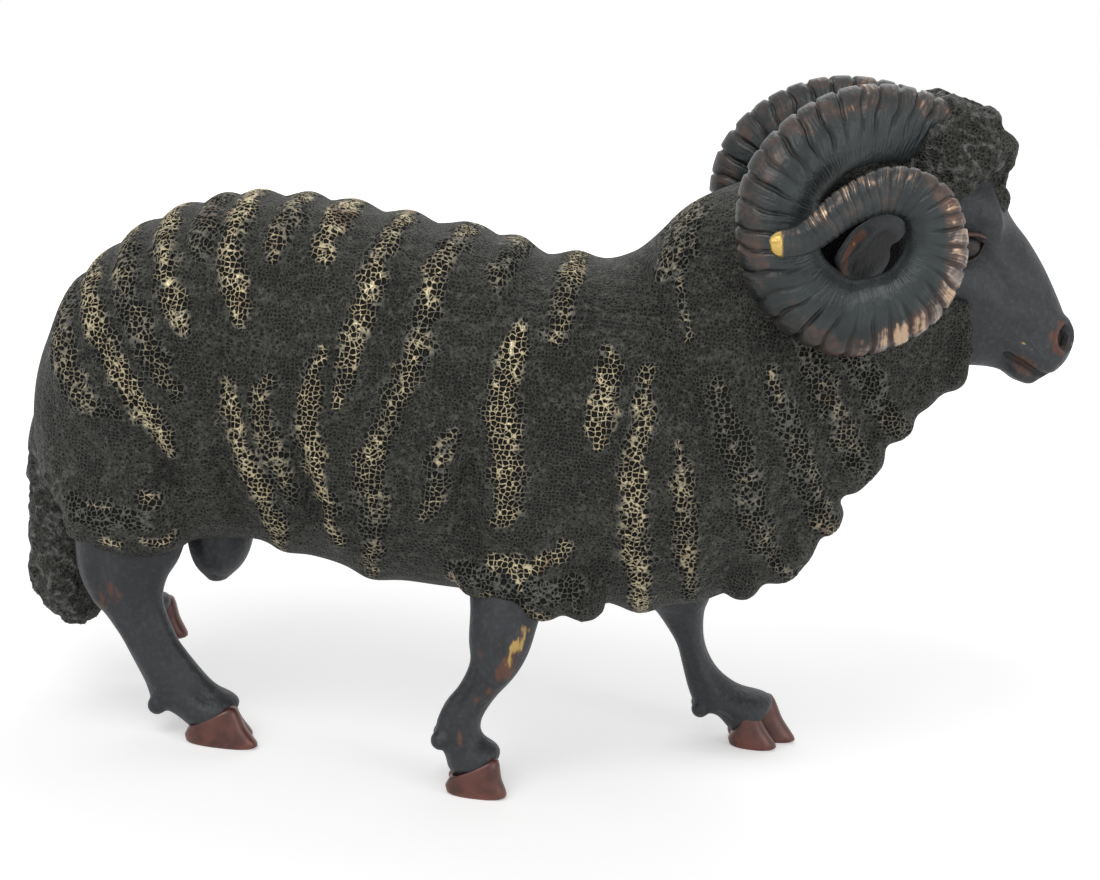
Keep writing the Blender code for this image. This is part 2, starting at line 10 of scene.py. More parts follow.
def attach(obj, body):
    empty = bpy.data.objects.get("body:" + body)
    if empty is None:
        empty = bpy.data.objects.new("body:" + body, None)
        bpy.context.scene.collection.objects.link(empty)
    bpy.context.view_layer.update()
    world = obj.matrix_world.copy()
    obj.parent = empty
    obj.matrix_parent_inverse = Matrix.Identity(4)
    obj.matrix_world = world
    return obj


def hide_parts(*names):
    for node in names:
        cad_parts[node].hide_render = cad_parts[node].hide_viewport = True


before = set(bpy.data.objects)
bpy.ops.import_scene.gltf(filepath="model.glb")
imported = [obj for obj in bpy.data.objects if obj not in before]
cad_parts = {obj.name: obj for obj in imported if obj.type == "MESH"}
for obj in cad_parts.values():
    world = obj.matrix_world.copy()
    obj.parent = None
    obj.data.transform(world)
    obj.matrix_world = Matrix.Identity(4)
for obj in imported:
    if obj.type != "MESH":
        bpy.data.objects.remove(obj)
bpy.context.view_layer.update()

bl_info = {
    "name": "Bronze Ram Figurine",
    "version": (1, 0, 0),
    "blender": (4, 5, 0),
    "location": "View3D > Sidebar > Ram",
    "description": "Models and finishes a patinated bronze ram with ribbed horns and a punched fleece",
    "category": "Add Mesh",
}

NODE = "ram_casting"
BODY = "root"
SIDES = {-1: "right", 1: "left"}

# The outlines are drawn in millimetres. The drawing's origin lies this far from the point under
# the middle of the figure.
MM = 0.001
DRAWING = Vector((2.88, 0.37, 0.0))

# The head turns away from the ram's right side, about the neck.
HEAD_TURN = math.radians(4.0)
NECK_PIVOT_X = 45.0

# Sections of the trunk and neck from the rump to the head: a point on the back, a point on the
# belly or chest, and the half width as a share of the fleece's.
FLEECE_HALF_WIDTH = 33.0
TRUNK = [
    (-116, 79, -115.5, 72, 0.20),
    (-115, 88, -114.5, 60, 0.55),
    (-110.5, 97.5, -109, 52, 0.78),
    (-103, 107, -101, 46.5, 0.91),
    (-93, 115.5, -90, 44, 0.97),
    (-80, 121.5, -77, 44.5, 0.97),
    (-66, 124, -63, 46, 0.95),
    (-50, 123.5, -47, 43, 0.97),
    (-34, 122, -30, 40.5, 1.0),
    (-18, 120.5, -12, 40, 1.0),
    (-4, 117.5, 6, 40.5, 0.98),
    (8, 118, 24, 41, 0.95),
    (18, 123, 39, 43.5, 0.91),
    (27, 131, 51, 51.5, 0.87),
    (36, 138.5, 59.5, 62, 0.82),
    (46, 145, 66, 74, 0.76),
    (57, 149.5, 74, 86.5, 0.68),
    (66, 151.5, 83.5, 96.5, 0.54),
    (73, 152, 91, 101, 0.34),
]
# The wool over the top of each leg: its distance from the middle plane, then a point in front, a
# point behind and the half width of each section.
CUFFS = [
    (-18.0, [
        (18, 78, -22, 78, 11.0),
        (16, 64, -20, 64, 13.5),
        (14, 52, -18, 52, 12.5),
        (11, 45, -15, 45, 10.5),
        (5, 42, -9, 42, 6.0),
    ]),
    (18.0, [
        (44, 78, 8, 78, 11.0),
        (46, 62, 12, 60, 13.0),
        (45, 49, 18, 46, 12.0),
        (42, 42, 23, 39, 9.5),
        (37, 38.5, 29, 37.5, 5.0),
    ]),
    (-15.0, [
        (-72, 90, -108, 84, 12.0),
        (-72, 72, -110, 72, 15.5),
        (-74, 58, -108, 57, 15.5),
        (-77, 48, -103, 47, 13.0),
        (-82, 43, -99, 43, 8.0),
    ]),
    (16.0, [
        (-78, 90, -110, 84, 12.0),
        (-78, 72, -112, 72, 15.0),
        (-80, 58, -111, 57, 14.5),
        (-84, 48, -108, 47, 12.5),
        (-89, 43, -104, 43, 8.0),
    ]),
]
# The tail, from its root: a point behind, a point in front, the half width as a share.
TAIL_HALF_WIDTH = 11.0
TAIL = [
    (-108, 92, -94, 88, 0.55),
    (-115, 80, -98, 76, 0.85),
    (-120, 66, -101, 64, 1.0),
    (-119.5, 52, -101, 51, 0.96),
    (-118.5, 38, -100, 38, 0.92),
    (-118, 29, -100, 29, 0.85),
    (-114, 22.5, -101, 22, 0.66),
    (-110, 19.5, -104, 19.5, 0.30),
]
# The wool of the crown, from the nape to the forehead: a point above, a point below, a share.
CROWN_HALF_WIDTH = 17.5
CROWN = [
    (56, 148, 64, 118, 0.40),
    (61, 158.5, 68, 117, 0.74),
    (69.5, 160.3, 74, 121, 0.94),
    (77, 162.2, 79, 129, 1.02),
    (83.5, 161.6, 83, 136, 0.99),
    (89, 158.4, 86.5, 142, 0.89),
    (93, 153.6, 89.5, 146, 0.75),
    (94.4, 149.6, 91.5, 146.6, 0.50),
]
# Locks of wool that stand out from the throat, the crown and the hems: the middle of each as seen
# from the side, its radius, and how far out from the middle plane each one like it lies. Those
# above HEAD_START_Z turn with the head.
HEAD_START_Z = 120
LOCKS = [
    (87, 102.5, 4.6, (-7, 0, 7)),
    (80, 98.5, 5.0, (-10, -3, 4, 10)),
    (73.5, 92.5, 5.2, (-12, -5, 3, 11)),
    (70, 84, 4.8, (-11, -4, 4, 12)),
    (65.5, 78, 4.8, (-13, -6, 2, 9)),
    (61.5, 69.5, 4.8, (-12, -4, 4, 12)),
    (57.5, 61.5, 4.6, (-14, -7, 0, 8)),
    (53, 56.5, 4.6, (-12, -4, 5, 12)),
    (46.5, 51.5, 4.6, (-15, -8, 0, 8)),
    (72, 158, 4.6, (-7, 2)),
    (79, 159.3, 4.4, (-8, 1, 9)),
    (86, 157.4, 4.4, (-9, -1, 7)),
    (91.2, 152.8, 4.2, (-8, 0, 8)),
    (91.6, 149, 3.6, (-5, 4)),
    (92.2, 141.6, 3.6, (-6, 0, 6)),
    (93.0, 138.2, 3.0, (-3.5, 3.5)),
    (89, 107.5, 2.8, (-8.5, 8.5)),
    (88.6, 112.5, 2.6, (-9.5, 9.5)),
    (87.4, 117.5, 2.6, (-10.5, 10.5)),
    (76, 153, 5.4, (-14, 14)),
    (80.5, 146.5, 5.0, (-14.5, 14.5)),
    (12, 45.5, 5.0, (-24, -16)),
    (3, 45, 4.6, (-27, -19)),
    (-12, 48.5, 4.2, (-26, -17)),
    (-100, 50.5, 4.4, (-26, -18)),
    (-90, 49, 4.4, (-26, -18)),
    (-82, 50, 4.2, (-24, -16)),
]

# Crests of the fleece's folds on the right side, seen from the side: the half width of the fold,
# how far its rings are worn to brass, and its points. The left side mirrors them.
FOLDS = [
    (3.4, 0.6, [(-108, 100), (-106, 89), (-100, 80), (-93, 78)]),
    (3.4, 1.0, [(-104, 110), (-102, 101), (-94, 89), (-84, 76), (-80, 71)]),
    (3.4, 0.7, [(-97, 116), (-93, 103), (-84, 89), (-79, 83)]),
    (3.2, 0.9, [(-88, 121), (-86, 110), (-79, 97)]),
    (3.0, 0.4, [(-79, 124), (-79, 112)]),
    (3.4, 1.0, [(-71, 126), (-72, 114), (-67, 100)]),
    (3.2, 0.7, [(-59, 126), (-62, 119), (-63, 113)]),
    (3.2, 0.9, [(-48, 125), (-53, 119), (-51, 113)]),
    (3.4, 0.9, [(-36, 124), (-40, 115), (-42, 101), (-45, 85)]),
    (3.8, 0.8, [(-22, 122), (-27, 114), (-29, 97), (-37, 73), (-35, 63), (-36, 46)]),
    (3.4, 0.9, [(-69, 88), (-67, 77), (-59, 61), (-56, 50)]),
    (3.2, 0.6, [(-60, 89), (-61, 81), (-53, 63)]),
    (3.4, 1.0, [(-49, 95), (-51, 81), (-43, 55)]),
    (3.4, 0.5, [(-11, 121), (-15, 112)]),
    (4.4, 1.0, [(-8, 104), (-10, 91), (-7, 75), (-7, 64)]),
    (3.4, 0.6, [(-20, 82), (-24, 63)]),
    (3.4, 0.8, [(2, 119), (0, 103)]),
    (3.4, 1.0, [(12, 102), (11, 83)]),
    (3.6, 1.0, [(20, 99), (20, 73), (23, 56), (25, 40)]),
    (3.2, 0.7, [(29, 85), (31, 70), (35, 50)]),
    (3.6, 0.4, [(35, 98), (43, 79), (50, 62), (57, 55)]),
    (3.4, 0.5, [(46, 102), (56, 81), (62, 68), (68, 66)]),
    (3.6, 0.5, [(29, 137), (22, 118)]),
    (3.4, 0.4, [(52, 108), (63, 90), (71, 79)]),
    (3.4, 0.3, [(58, 114), (70, 97), (77, 90)]),
    (3.0, 0.0, [(-108, 60), (-98, 54), (-86, 54)]),
    (3.4, 0.0, [(-16, 52), (-4, 48), (10, 50)]),
]
# Small clusters of worn rings at the hems, given like the folds.
CLUSTERS = [
    (2.6, 1.0, [(-7.5, 53.3), (-0.1, 54.2), (6.1, 57.6)]),
    (2.6, 1.0, [(-4, 53), (-2, 48.7)]),
    (2.0, 0.9, [(-18.4, 50), (-15.2, 45.5), (-12, 43.5), (-8.8, 47)]),
    (1.8, 0.8, [(-0.4, 44.4), (3.6, 43)]),
    (1.6, 0.5, [(9.9, 46.4), (10.9, 44)]),
    (2.2, 0.9, [(-97, 56), (-94, 56.5)]),
    (2.2, 0.9, [(-87, 60), (-83.5, 59)]),
    (2.0, 0.9, [(-94.5, 48), (-91.5, 47.5)]),
    (2.2, 0.9, [(-84.5, 49), (-80.5, 50.5)]),
    (1.4, 0.7, [(22, 123), (25.7, 115), (28.4, 107)]),
]
CREASES = [
    [(-71, 92), (-70, 76), (-67, 56)],
    [(-53, 74), (-48, 60)],
    [(17, 118), (25, 101), (30, 94)],
    [(-16, 74), (-14, 62)],
    [(-98, 92), (-86, 76), (-80, 62)],
]
CREASE_HALF_WIDTH = 2.2
# Points along a fold's curve
FOLD_SAMPLES = 30
# Without a seed of its own, the sway would differ at each run
SWAY_SEED = 1
# The fleece is modelled whole, then parted along the middle plane and here
SADDLE_X = -18.0

# The bare face: a point on the bridge of the nose, a point under the jaw, the half width.
FACE = [
    (72, 155, 60, 114, 12.5),
    (82, 156, 71, 109, 13.7),
    (90.5, 149, 80, 105.5, 13.3),
    (96.2, 138.5, 86.5, 103.8, 11.8),
    (101.6, 132.6, 91.5, 103.2, 10.2),
    (106, 127, 96, 103.3, 8.9),
    (109.8, 121, 99.5, 102.8, 8.2),
    (112.6, 116, 102.8, 101, 7.8),
    (114.5, 112.2, 106, 100.6, 6.8),
    (114.2, 108.4, 108.8, 102.3, 4.8),
    (112.3, 106, 110.6, 103.9, 2.2),
]
# Marks of the modelling tool on the face: the line it follows, its half width, how far the
# metal rises (or sinks) there.
FACE_STROKES = [
    ([(83, 141.5), (88, 140.5), (92, 136)], 2.4, 1.0),
    ([(89.8, 142.5), (91.4, 139), (92.2, 134.8)], 0.9, 0.6),
    ([(81, 130.8), (88, 130.4)], 4.0, -1.6),
    ([(91, 128.5), (95, 124), (98, 119.5)], 1.5, -0.7),
    ([(80, 124), (87, 122.5), (95, 118)], 3.2, 0.9),
    ([(92, 112), (97, 110)], 4.0, -0.9),
    ([(78, 116), (84, 111)], 5.5, 1.1),
    ([(96, 124.5), (101, 124), (104, 121.5)], 1.2, 0.5),
    ([(97, 120), (102, 119.5)], 1.0, -0.3),
    ([(98, 114.5), (103, 113.5)], 1.0, -0.3),
    ([(108.6, 116), (112.4, 112.8), (110.8, 108.9)], 2.6, 0.9),
    ([(100, 109.8), (105, 108.2), (109, 106.2)], 2.2, 0.9),
    ([(99.4, 106.8), (103, 105.4), (107, 103.4), (112, 102.8)], 0.8, -1.5),
    ([(101.5, 103.4), (105.5, 101.8)], 1.8, 0.9),
    ([(95, 107.5), (99.5, 104)], 2.2, -0.5),
]
# Painted shade in the face's recesses: a line, its half width, how dark.
FACE_SHADE = [
    ([(99.6, 106.7), (103, 105.4), (107, 103.4), (112, 102.8)], 0.75, 1.0),
    ([(84, 130.2), (88.6, 130.6)], 3.2, 1.0),
    ([(84, 136), (89, 136.2)], 1.6, 0.6),
]
# A nick in the upper lip, where the metal is bare.
FACE_NICK = [(101.6, 110.6), (103, 110.2), (104.8, 108.9)]
NOSTRIL = (111.3, 112.6)
NOSTRIL_SIZE = (1.45, 2.5)
EYE_PLACE = (85.7, 130.6)
EYE_OUT = 11.6
# The eyelids' edges: how far in front of the eye's middle, above it and out of it each point is.
LIDS = [
    [(-5.0, 1.2, 0.2), (-2.5, 2.7, 1.4), (0.2, 3.2, 1.9), (2.2, 3.1, 1.3), (3.8, 2.6, 0.2)],
    [(-5.0, -0.6, 0.2), (-2.5, -2.4, 1.2), (0.0, -2.9, 1.6), (2.2, -1.6, 1.2), (3.6, 1.0, 0.2)],
]

# The horn's middle line from its root to its tip, how far out it lies, and its breadth as a
# share of the band's.
HORN_BAND = 17.0
HORN_DEPTH_SHARE = 0.74
HORN_RINGS = 560
HORN = [
    (84, 147, 1.8, 0.80),
    (73, 154.5, 11, 0.93),
    (60, 155.5, 20, 0.98),
    (49.5, 151, 26, 1.0),
    (42, 142, 29.9, 1.0),
    (41.5, 131, 32, 1.0),
    (46, 121.5, 33, 1.0),
    (57, 116, 34.5, 0.97),
    (69, 120.5, 36, 0.88),
    (74, 130.5, 36.5, 0.79),
    (71, 140.5, 38, 0.68),
    (63, 143.5, 39, 0.58),
    (54, 139.5, 41, 0.47),
    (46, 132.5, 43.5, 0.38),
    (38.5, 130.5, 46, 0.30),
]
# The ear: a point above, a point below, how far out, its thickness.
EAR = [
    (76, 137, 74, 129, 10, 2.7),
    (70, 138.5, 69, 124.5, 17, 3.0),
    (64, 137, 64, 122, 23, 2.8),
    (58.5, 134, 60, 121.5, 27, 2.4),
    (55.3, 129.5, 57, 122.5, 29, 1.7),
    (54.4, 127, 55.4, 124.4, 29.5, 0.9),
]
# Painted shade: the wool seen through the hole in the horn's coil is painted nearly black. The hole's
# middle and its radius.
COIL_OPENING = (60, 131, 13.0)
# The wool behind that hole lies above this height, and farther out than this.
COIL_LOWEST = 100
COIL_NEAREST = 12
EAR_HOLLOW = [(66, 131), (62, 127), (60, 125.5)]
EAR_STREAK = [(60, 133), (57.4, 130), (56.6, 126.5), (57, 124.5)]

# Each leg: its side, the foot's distance from the middle plane, its sections (a point in front, a
# point behind, the half width in shank widths, how much nearer to the middle it lies), the
# dewclaws' place, the hoof (toe, heel, the coronet's front, height of the sole, how far back the
# inner toe is set), and marks of the modelling tool: a line, its half width, its height.
SHANK_HALF_WIDTH = 5.6
LEGS = {
    "right_front": (
        -1,
        27.0,
        [
            (5, 60, -14, 60, 1.3, 10),
            (4, 46, -13.5, 46, 1.3, 4),
            (2.6, 40, -12.8, 41, 1.15, 2),
            (1.2, 33, -12.4, 34.5, 1.1, 1),
            (-1.2, 27.5, -11.6, 29.5, 1.0, 0.5),
            (-5, 22.3, -13.4, 24, 0.86, 0),
            (-7.4, 17.5, -16.2, 19.5, 0.86, 0),
            (-7.7, 14.2, -17.8, 14, 0.95, 0),
            (-6.2, 12.2, -17, 10.6, 1.02, 0),
            (-3.4, 10.6, -14.9, 7.4, 1.12, 0),
            (-2.7, 8.9, -14.4, 5.4, 1.16, 0),
            (-4, 6, -12.5, 3, 0.9, 0),
        ],
        (-16.2, 11.6),
        (-0.3, -14, -3.2, 9.0, 0, 2.5),
        [
            ([(-9.5, 33), (-10.5, 27), (-13.5, 21), (-14.5, 15)], 1.2, -0.8),
            ([(-3.5, 36), (-5.5, 28)], 2.8, 0.8),
            ([(-7.5, 24), (-10.5, 18), (-11, 12)], 1.6, 0.5),
            ([(-15.5, 18), (-14.6, 10)], 0.9, -0.5),
            ([(-12.5, 9.5), (-7, 12.5)], 1.0, -0.4),
        ],
    ),
    "left_front": (
        1,
        26.0,
        [
            (43, 52, 24, 50, 1.3, 9),
            (42, 38, 25, 36, 1.25, 4),
            (41, 32.5, 29.5, 31, 1.1, 1.5),
            (41.6, 26, 34.8, 24, 0.92, 0.5),
            (43.6, 21, 37, 18.5, 0.86, 0),
            (47, 17, 39.4, 12, 0.9, 0),
            (52, 14.2, 42.2, 7.4, 1.0, 0),
            (57.8, 13.2, 47, 6.2, 1.1, 0),
            (60.4, 11.6, 49.9, 3.6, 1.16, 0),
            (59.5, 8, 52, 2, 0.9, 0),
        ],
        (42.8, 8.0),
        (67.2, 50.5, 60.2, 11.6, 0, 5.0),
        [
            ([(34, 32), (38, 22), (42, 13)], 1.2, -0.7),
            ([(39, 22), (44, 14), (51, 9)], 1.8, 0.5),
            ([(44, 10.5), (50, 6.5)], 1.0, -0.5),
        ],
    ),
    "right_hind": (
        -1,
        14.5,
        [
            (-77, 57, -105, 55, 1.5, 0),
            (-80, 43, -104, 43, 1.45, -1),
            (-82.8, 37, -102, 35, 1.2, -1),
            (-83.4, 31, -97.5, 28.5, 1.02, 0),
            (-80, 23.5, -93, 23.2, 0.92, 0),
            (-77.5, 20.2, -89.8, 18, 0.88, 0),
            (-72.8, 15.2, -86.3, 12.2, 0.95, 0),
            (-69.5, 12.6, -84, 7.4, 1.02, 0),
            (-65.8, 11, -79.8, 5.8, 1.1, 0),
            (-64.2, 9.2, -76.4, 3.8, 1.16, 0),
            (-65.5, 6, -74.5, 2, 0.9, 0),
        ],
        (-82.6, 7.5),
        (-58.8, -75.5, -64.6, 9.4, 0, 2.5),
        [
            ([(-97, 42), (-93.5, 33), (-88, 22)], 1.3, -0.9),
            ([(-88, 38), (-85, 28), (-78, 17), (-71, 11)], 1.4, -0.8),
            ([(-100, 40), (-97, 31)], 2.2, 0.9),
            ([(-92, 26), (-84, 15), (-79, 9)], 2.0, 0.5),
            ([(-81, 11), (-77, 7)], 1.0, -0.5),
        ],
    ),
    "left_hind": (
        1,
        16.0,
        [
            (-86, 57, -109, 55, 1.5, 0),
            (-88, 43, -108, 43, 1.4, 0),
            (-92, 34, -107, 34, 1.15, 0),
            (-93, 28, -105, 28, 0.98, 0),
            (-92, 24, -102.5, 23, 0.95, 0),
            (-89, 23.4, -99.3, 18.6, 1.1, 0),
            (-88.2, 21.6, -98.6, 16.6, 1.16, 0),
            (-89.5, 18, -96.5, 14, 0.9, 0),
        ],
        (-100.8, 20.6),
        (-84.2, -97.5, -88.6, 22.2, 12, 2.0),
        [
            ([(-103, 40), (-101, 30), (-98, 22)], 1.3, -0.7),
        ],
    ),
}
DEWCLAW_RADIUS = 2.3
DEWCLAW_REACH = 2.7
TOE_HALF_WIDTH = 3.1
TOE_GAP = 0.8
SOLE_EDGE = 1.3
HEEL_HEIGHT = 4.2
CORONET_DEPTH = 4.0

SCROTUM_HALF_WIDTH = 8.5
SCROTUM = [
    (-68, 56, -82, 56, 0.8),
    (-66.5, 46, -82, 45, 1.0),
    (-68, 39, -80, 38, 0.88),
    (-72, 34, -76, 33.6, 0.35),
]

# Where the patina has rubbed through on the smooth skin, with one painted highlight among them: a
# place seen from the side, the side of the ram it is on, the spot's radius, and how far it is bare
# to copper and to gold.
SKIN_WEAR = [
    ((-94.5, 34), -1, 4.2, 0.75, 0.0),
    ((-97, 30), -1, 2.6, 0.5, 0.0),
    ((-84, 9), -1, 2.4, 0.3, 0.25),
    ((-0.2, 39.5), -1, 1.6, 0.8, 0.8),
    ((-1.2, 36), -1, 2.1, 1.0, 0.85),
    ((-2.4, 32.4), -1, 2.2, 0.95, 0.55),
    ((-3.6, 29.4), -1, 2.4, 1.1, 0.1),
    ((-6.3, 24.9), -1, 2.0, 0.8, 0.0),
    ((-9.2, 22.4), -1, 1.6, 0.6, 0.0),
    ((-11.4, 15), -1, 1.6, 0.8, 0.0),
    ((-11.8, 12.6), -1, 1.4, 0.7, 0.0),
    ((-9.3, 32.6), -1, 1.7, 0.7, 0.1),
    ((-93, 24), 1, 3.0, 0.5, 0.0),
    ((104, 122), -1, 2.2, 0.55, 0.2),
    ((106.5, 118.5), -1, 1.8, 0.5, 0.2),
    ((108.8, 112.6), -1, 1.6, 1.0, 0.3),
    ((110.4, 115.4), -1, 1.7, 0.95, 0.3),
    ((110.2, 109.6), -1, 1.6, 1.0, 0.35),
    # Painted highlight, partly polished metal: the glint at the front of the muzzle, by the nostril.
    ((113.6, 111), -1, 1.6, 0.5, 0.5),
    ((111, 106), -1, 2.2, 0.55, 0.1),
    ((102, 106.6), -1, 2.0, 0.95, 0.0),
    ((104.5, 104.6), -1, 2.2, 1.0, 0.0),
]

# The stage, in metres and watts: each lamp's place, size and power, and what it looks at.
FLOOR_SIZE = 6
LAMPS = (
    ("key", (-0.30, -0.70, 0.85), 0.6, 4.5),
    ("fill", (0.80, -0.55, 0.35), 0.5, 1.6),
    ("rim", (0.1, 0.7, 0.8), 0.8, 2.0),
)
LAMP_TARGET = (0, 0, 0.07)
LIGHT_OF_ROOM = 0.5
# How far the camera is turned toward the head, raised and rolled, in degrees; its lens in
# millimetres; how far it stands from the figure, and how high it looks, in metres.
CAMERA_ANGLES = (2, 12, 6)
CAMERA_LENS = 70
CAMERA_DISTANCE = 0.490
CAMERA_TARGET_HEIGHT = 0.0757

# Steps between two of a curve's given points
CURVE_STEPS = 12
# Farther than any place of the figure from any other, in millimetres.
FAR = 1e9

# Where no light comes in, the metal looks like this, in linear red, green and blue.
UNLIT = (0.002, 0.002, 0.002)

# The nodes that the finishes use most, each with its setting.
SOFT_RANGE = ("ShaderNodeMapRange", {"interpolation_type": "SMOOTHSTEP"})
PRODUCT = ("ShaderNodeMath", {"operation": "MULTIPLY"})
SUM = ("ShaderNodeMath", {"operation": "ADD"})
LARGER = ("ShaderNodeMath", {"operation": "MAXIMUM"})
NOISE = ("ShaderNodeTexNoise", {})
MIX = ("ShaderNodeMix", {})
BUMP = ("ShaderNodeBump", {})
COLOUR_MIX = ("ShaderNodeMix", {"data_type": "RGBA"})


def linear(hex_colour):
    """An sRGB hex colour as the linear red, green and blue that Blender works in."""
    parts = [(hex_colour >> shift & 255) / 255 for shift in (16, 8, 0)]
    return tuple(p / 12.92 if p <= 0.04045 else ((p + 0.055) / 1.055) ** 2.4 for p in parts)


def length(name, default_mm, description):
    return bpy.props.FloatProperty(
        name=name, default=default_mm * MM, min=0.0, unit="LENGTH", subtype="DISTANCE",
        precision=5, description=description,
    )


def colour(name, hex_colour, description):
    return bpy.props.FloatVectorProperty(
        name=name, default=linear(hex_colour), size=3, min=0.0, max=1.0, subtype="COLOR",
        description=description,
    )


class RamSizes(bpy.types.PropertyGroup):
    """Sizes of the modelled detail."""

    fold_height: length("Fold height", 2.2, "How far a fold of the fleece stands out")
    fold_swell: bpy.props.FloatProperty(
        name="Fold swell", default=1.35, description="How much wider a fold is than its crest"
    )
    crease_depth: length("Crease depth", 1.8, "How deep the creases between folds are")
    curl_height: length("Curl height", 1.3, "Relief of the curls on crown and tail")
    curl_size: length("Curl size", 6.5, "Distance between the curls")
    strand_height: length("Strand height", 0.9, "Relief of the strands in the curls")
    strand_size: length("Strand size", 3.4, "Distance between the strands")
    ring_size: length("Ring size", 1.12, "Spacing of the punched rings on a fold's crest")
    ring_depth: length("Ring depth", 0.34, "Depth of a punched ring")
    prick_size: length("Prick size", 0.8, "Across one prick of the ground between the folds")
    rib_height: length("Rib height", 0.8, "How far a rib of the horn stands out")
    rib_count: bpy.props.IntProperty(
        name="Ribs", default=56, min=8, description="Ribs along each horn"
    )
    eye_radius: length("Eye radius", 2.7, "Radius of the eyeball")


class RamColours(bpy.types.PropertyGroup):
    """Colours of the finishes."""

    ground: colour("Fleece patina", 0x373833, "Dark green-brown patina of the fleece")
    # The pit colour is the patina left in the punch marks and also painted shade: the fleece's pits,
    # the skin's recesses and the horn's grooves are painted with it.
    pit: colour("Pits", 0x121210, "Patina left dark at the bottom of the punch marks")
    # Wall colour: walls partly rubbed and partly painted highlight on the rims of the punch marks.
    wall: colour("Ring walls", 0x60605A, "Walls between the punch marks, barely rubbed")
    strand: colour("Strands", 0x706F6D, "Rubbed strands of the curls")
    brass: colour("Worn brass", 0xC4B694, "Ring walls rubbed down to the bronze")
    copper: colour("Worn copper", 0x644538, "Skin and ribs rubbed down to a copper tone")
    # Painted highlight colours: the ribs' glints, painted as bare bright metal, warm and grey.
    rib_highlight: colour("Bare ribs", 0xB89D84, "The ribs' most handled spots, bare and bright")
    grey_highlight: colour("Grey ribs", 0x857D77, "Rib crests burnished to a silvery grey")
    skin: colour("Skin patina", 0x36383B, "Blue-black patina of face and legs")
    horn: colour("Horn patina", 0x32393A, "Green-black patina of the horns")
    hoof: colour("Hooves", 0x60352B, "Lacquered red-brown hooves")
    gold: colour("Horn tip", 0xC4A55F, "Tip of the horn and rubbed spots, polished bright")
    floor: colour("Floor", 0xF2F2F2, "Pale floor under the figure")


def through(rows, count):
    """Rows spaced evenly along a smooth curve through the rows given."""
    rows = np.array(rows, float)
    ends = np.vstack([2 * rows[0] - rows[1], rows, 2 * rows[-1] - rows[-2]])
    fine = []
    for a, b, c, d in zip(ends, ends[1:], ends[2:], ends[3:]):
        for t in np.arange(CURVE_STEPS) / CURVE_STEPS:
            bend = (2 * a - 5 * b + 4 * c - d) * t**2 + (3 * b - a - 3 * c + d) * t**3
            fine.append(b + 0.5 * ((c - a) * t + bend))
    fine.append(rows[-1])
    fine = np.array(fine)
    steps = np.linalg.norm(np.diff(fine[:, :2], axis=0), axis=1)
    steps += np.linalg.norm(np.diff(fine[:, 2:4], axis=0), axis=1)
    along = np.concatenate([[0], np.cumsum(steps)])
    at = np.linspace(0, along[-1], count)
    return np.stack([np.interp(at, along, column) for column in fine.T], axis=1)


def places_of(piece):
    """The piece's points in the drawing's millimetres."""
    places = np.empty(len(piece.data.vertices) * 3)
    piece.data.vertices.foreach_get("co", places)
    return places.reshape(-1, 3) / MM


def set_places(piece, places):
    piece.data.vertices.foreach_set("co", (np.asarray(places) * MM).ravel())
    piece.data.update()


def normals_of(piece):
    normals = np.empty(len(piece.data.vertices) * 3)
    piece.data.vertex_normals.foreach_get("vector", normals)
    return normals.reshape(-1, 3)


def paint(piece, **marks):
    """Stores numbers at each point, which a material reads."""
    for name, values in marks.items():
        layer = piece.data.attributes.new(name, "FLOAT", "POINT")
        layer.data.foreach_set("value", np.asarray(values, np.float32))


def soft_step(low, high, values):
    t = np.clip((values - low) / (high - low), 0, 1)
    return t * t * (3 - 2 * t)


def only(piece):
    """Selects one piece, and makes it the active one."""
    bpy.ops.object.select_all(action="DESELECT")
    piece.select_set(True)
    bpy.context.view_layer.objects.active = piece


def modified(piece, kind, **settings):
    """Adds a modifier with its settings and applies it."""
    only(piece)
    modifier = piece.modifiers.new(kind.lower(), kind)
    for name, value in settings.items():
        setattr(modifier, name, value)
    bpy.ops.object.modifier_apply(modifier=modifier.name)
    return piece


def refined(piece, levels):
    return modified(piece, "SUBSURF", levels=levels, render_levels=levels)


def outward(piece):
    only(piece)
    bpy.ops.object.mode_set(mode="EDIT")
    bpy.ops.mesh.select_all(action="SELECT")
    bpy.ops.mesh.normals_make_consistent(inside=False)
    bpy.ops.object.mode_set(mode="OBJECT")


def ball(sides, rings):
    bpy.ops.object.select_all(action="DESELECT")
    bpy.ops.mesh.primitive_uv_sphere_add(segments=sides, ring_count=rings, radius=1)
    return bpy.context.object


def wrapped(sections, sides, square=2.0):
    """A ball whose rings are laid one by one onto oval sections. Each section has two points on
    the side outline, a half width, and a distance from the middle plane. Gives the piece, and
    each point's ring and turn round it, which is 0 at a section's first point."""
    rings = len(sections) + 1
    piece = ball(sides, rings)
    round_places = places_of(piece) * MM
    ring = np.arccos(np.clip(round_places[:, 2], -1, 1)) / math.pi * rings
    ring = np.rint(ring).astype(int)
    turn = np.arctan2(round_places[:, 1], round_places[:, 0])
    ends = (ring == 0) | (ring == rings)
    rows = np.array(sections, float)[np.clip(ring - 1, 0, rings - 2)]
    up, out = (
        np.where(ends, 0, np.sign(part) * np.abs(part) ** (2 / square))
        for part in (np.cos(turn), np.sin(turn))
    )
    ax, az, bx, bz, half_width, y = rows.T
    set_places(piece, np.stack([
        (ax + bx) / 2 + (ax - bx) / 2 * up,
        y + half_width * out,
        (az + bz) / 2 + (az - bz) / 2 * up,
    ], axis=1))
    outward(piece)
    return piece, ring, turn


def egg(place, radii, sides=24, rings=16):
    """An egg-shaped ball."""
    piece = ball(sides, rings)
    set_places(piece, places_of(piece) * MM * radii + place)
    return piece


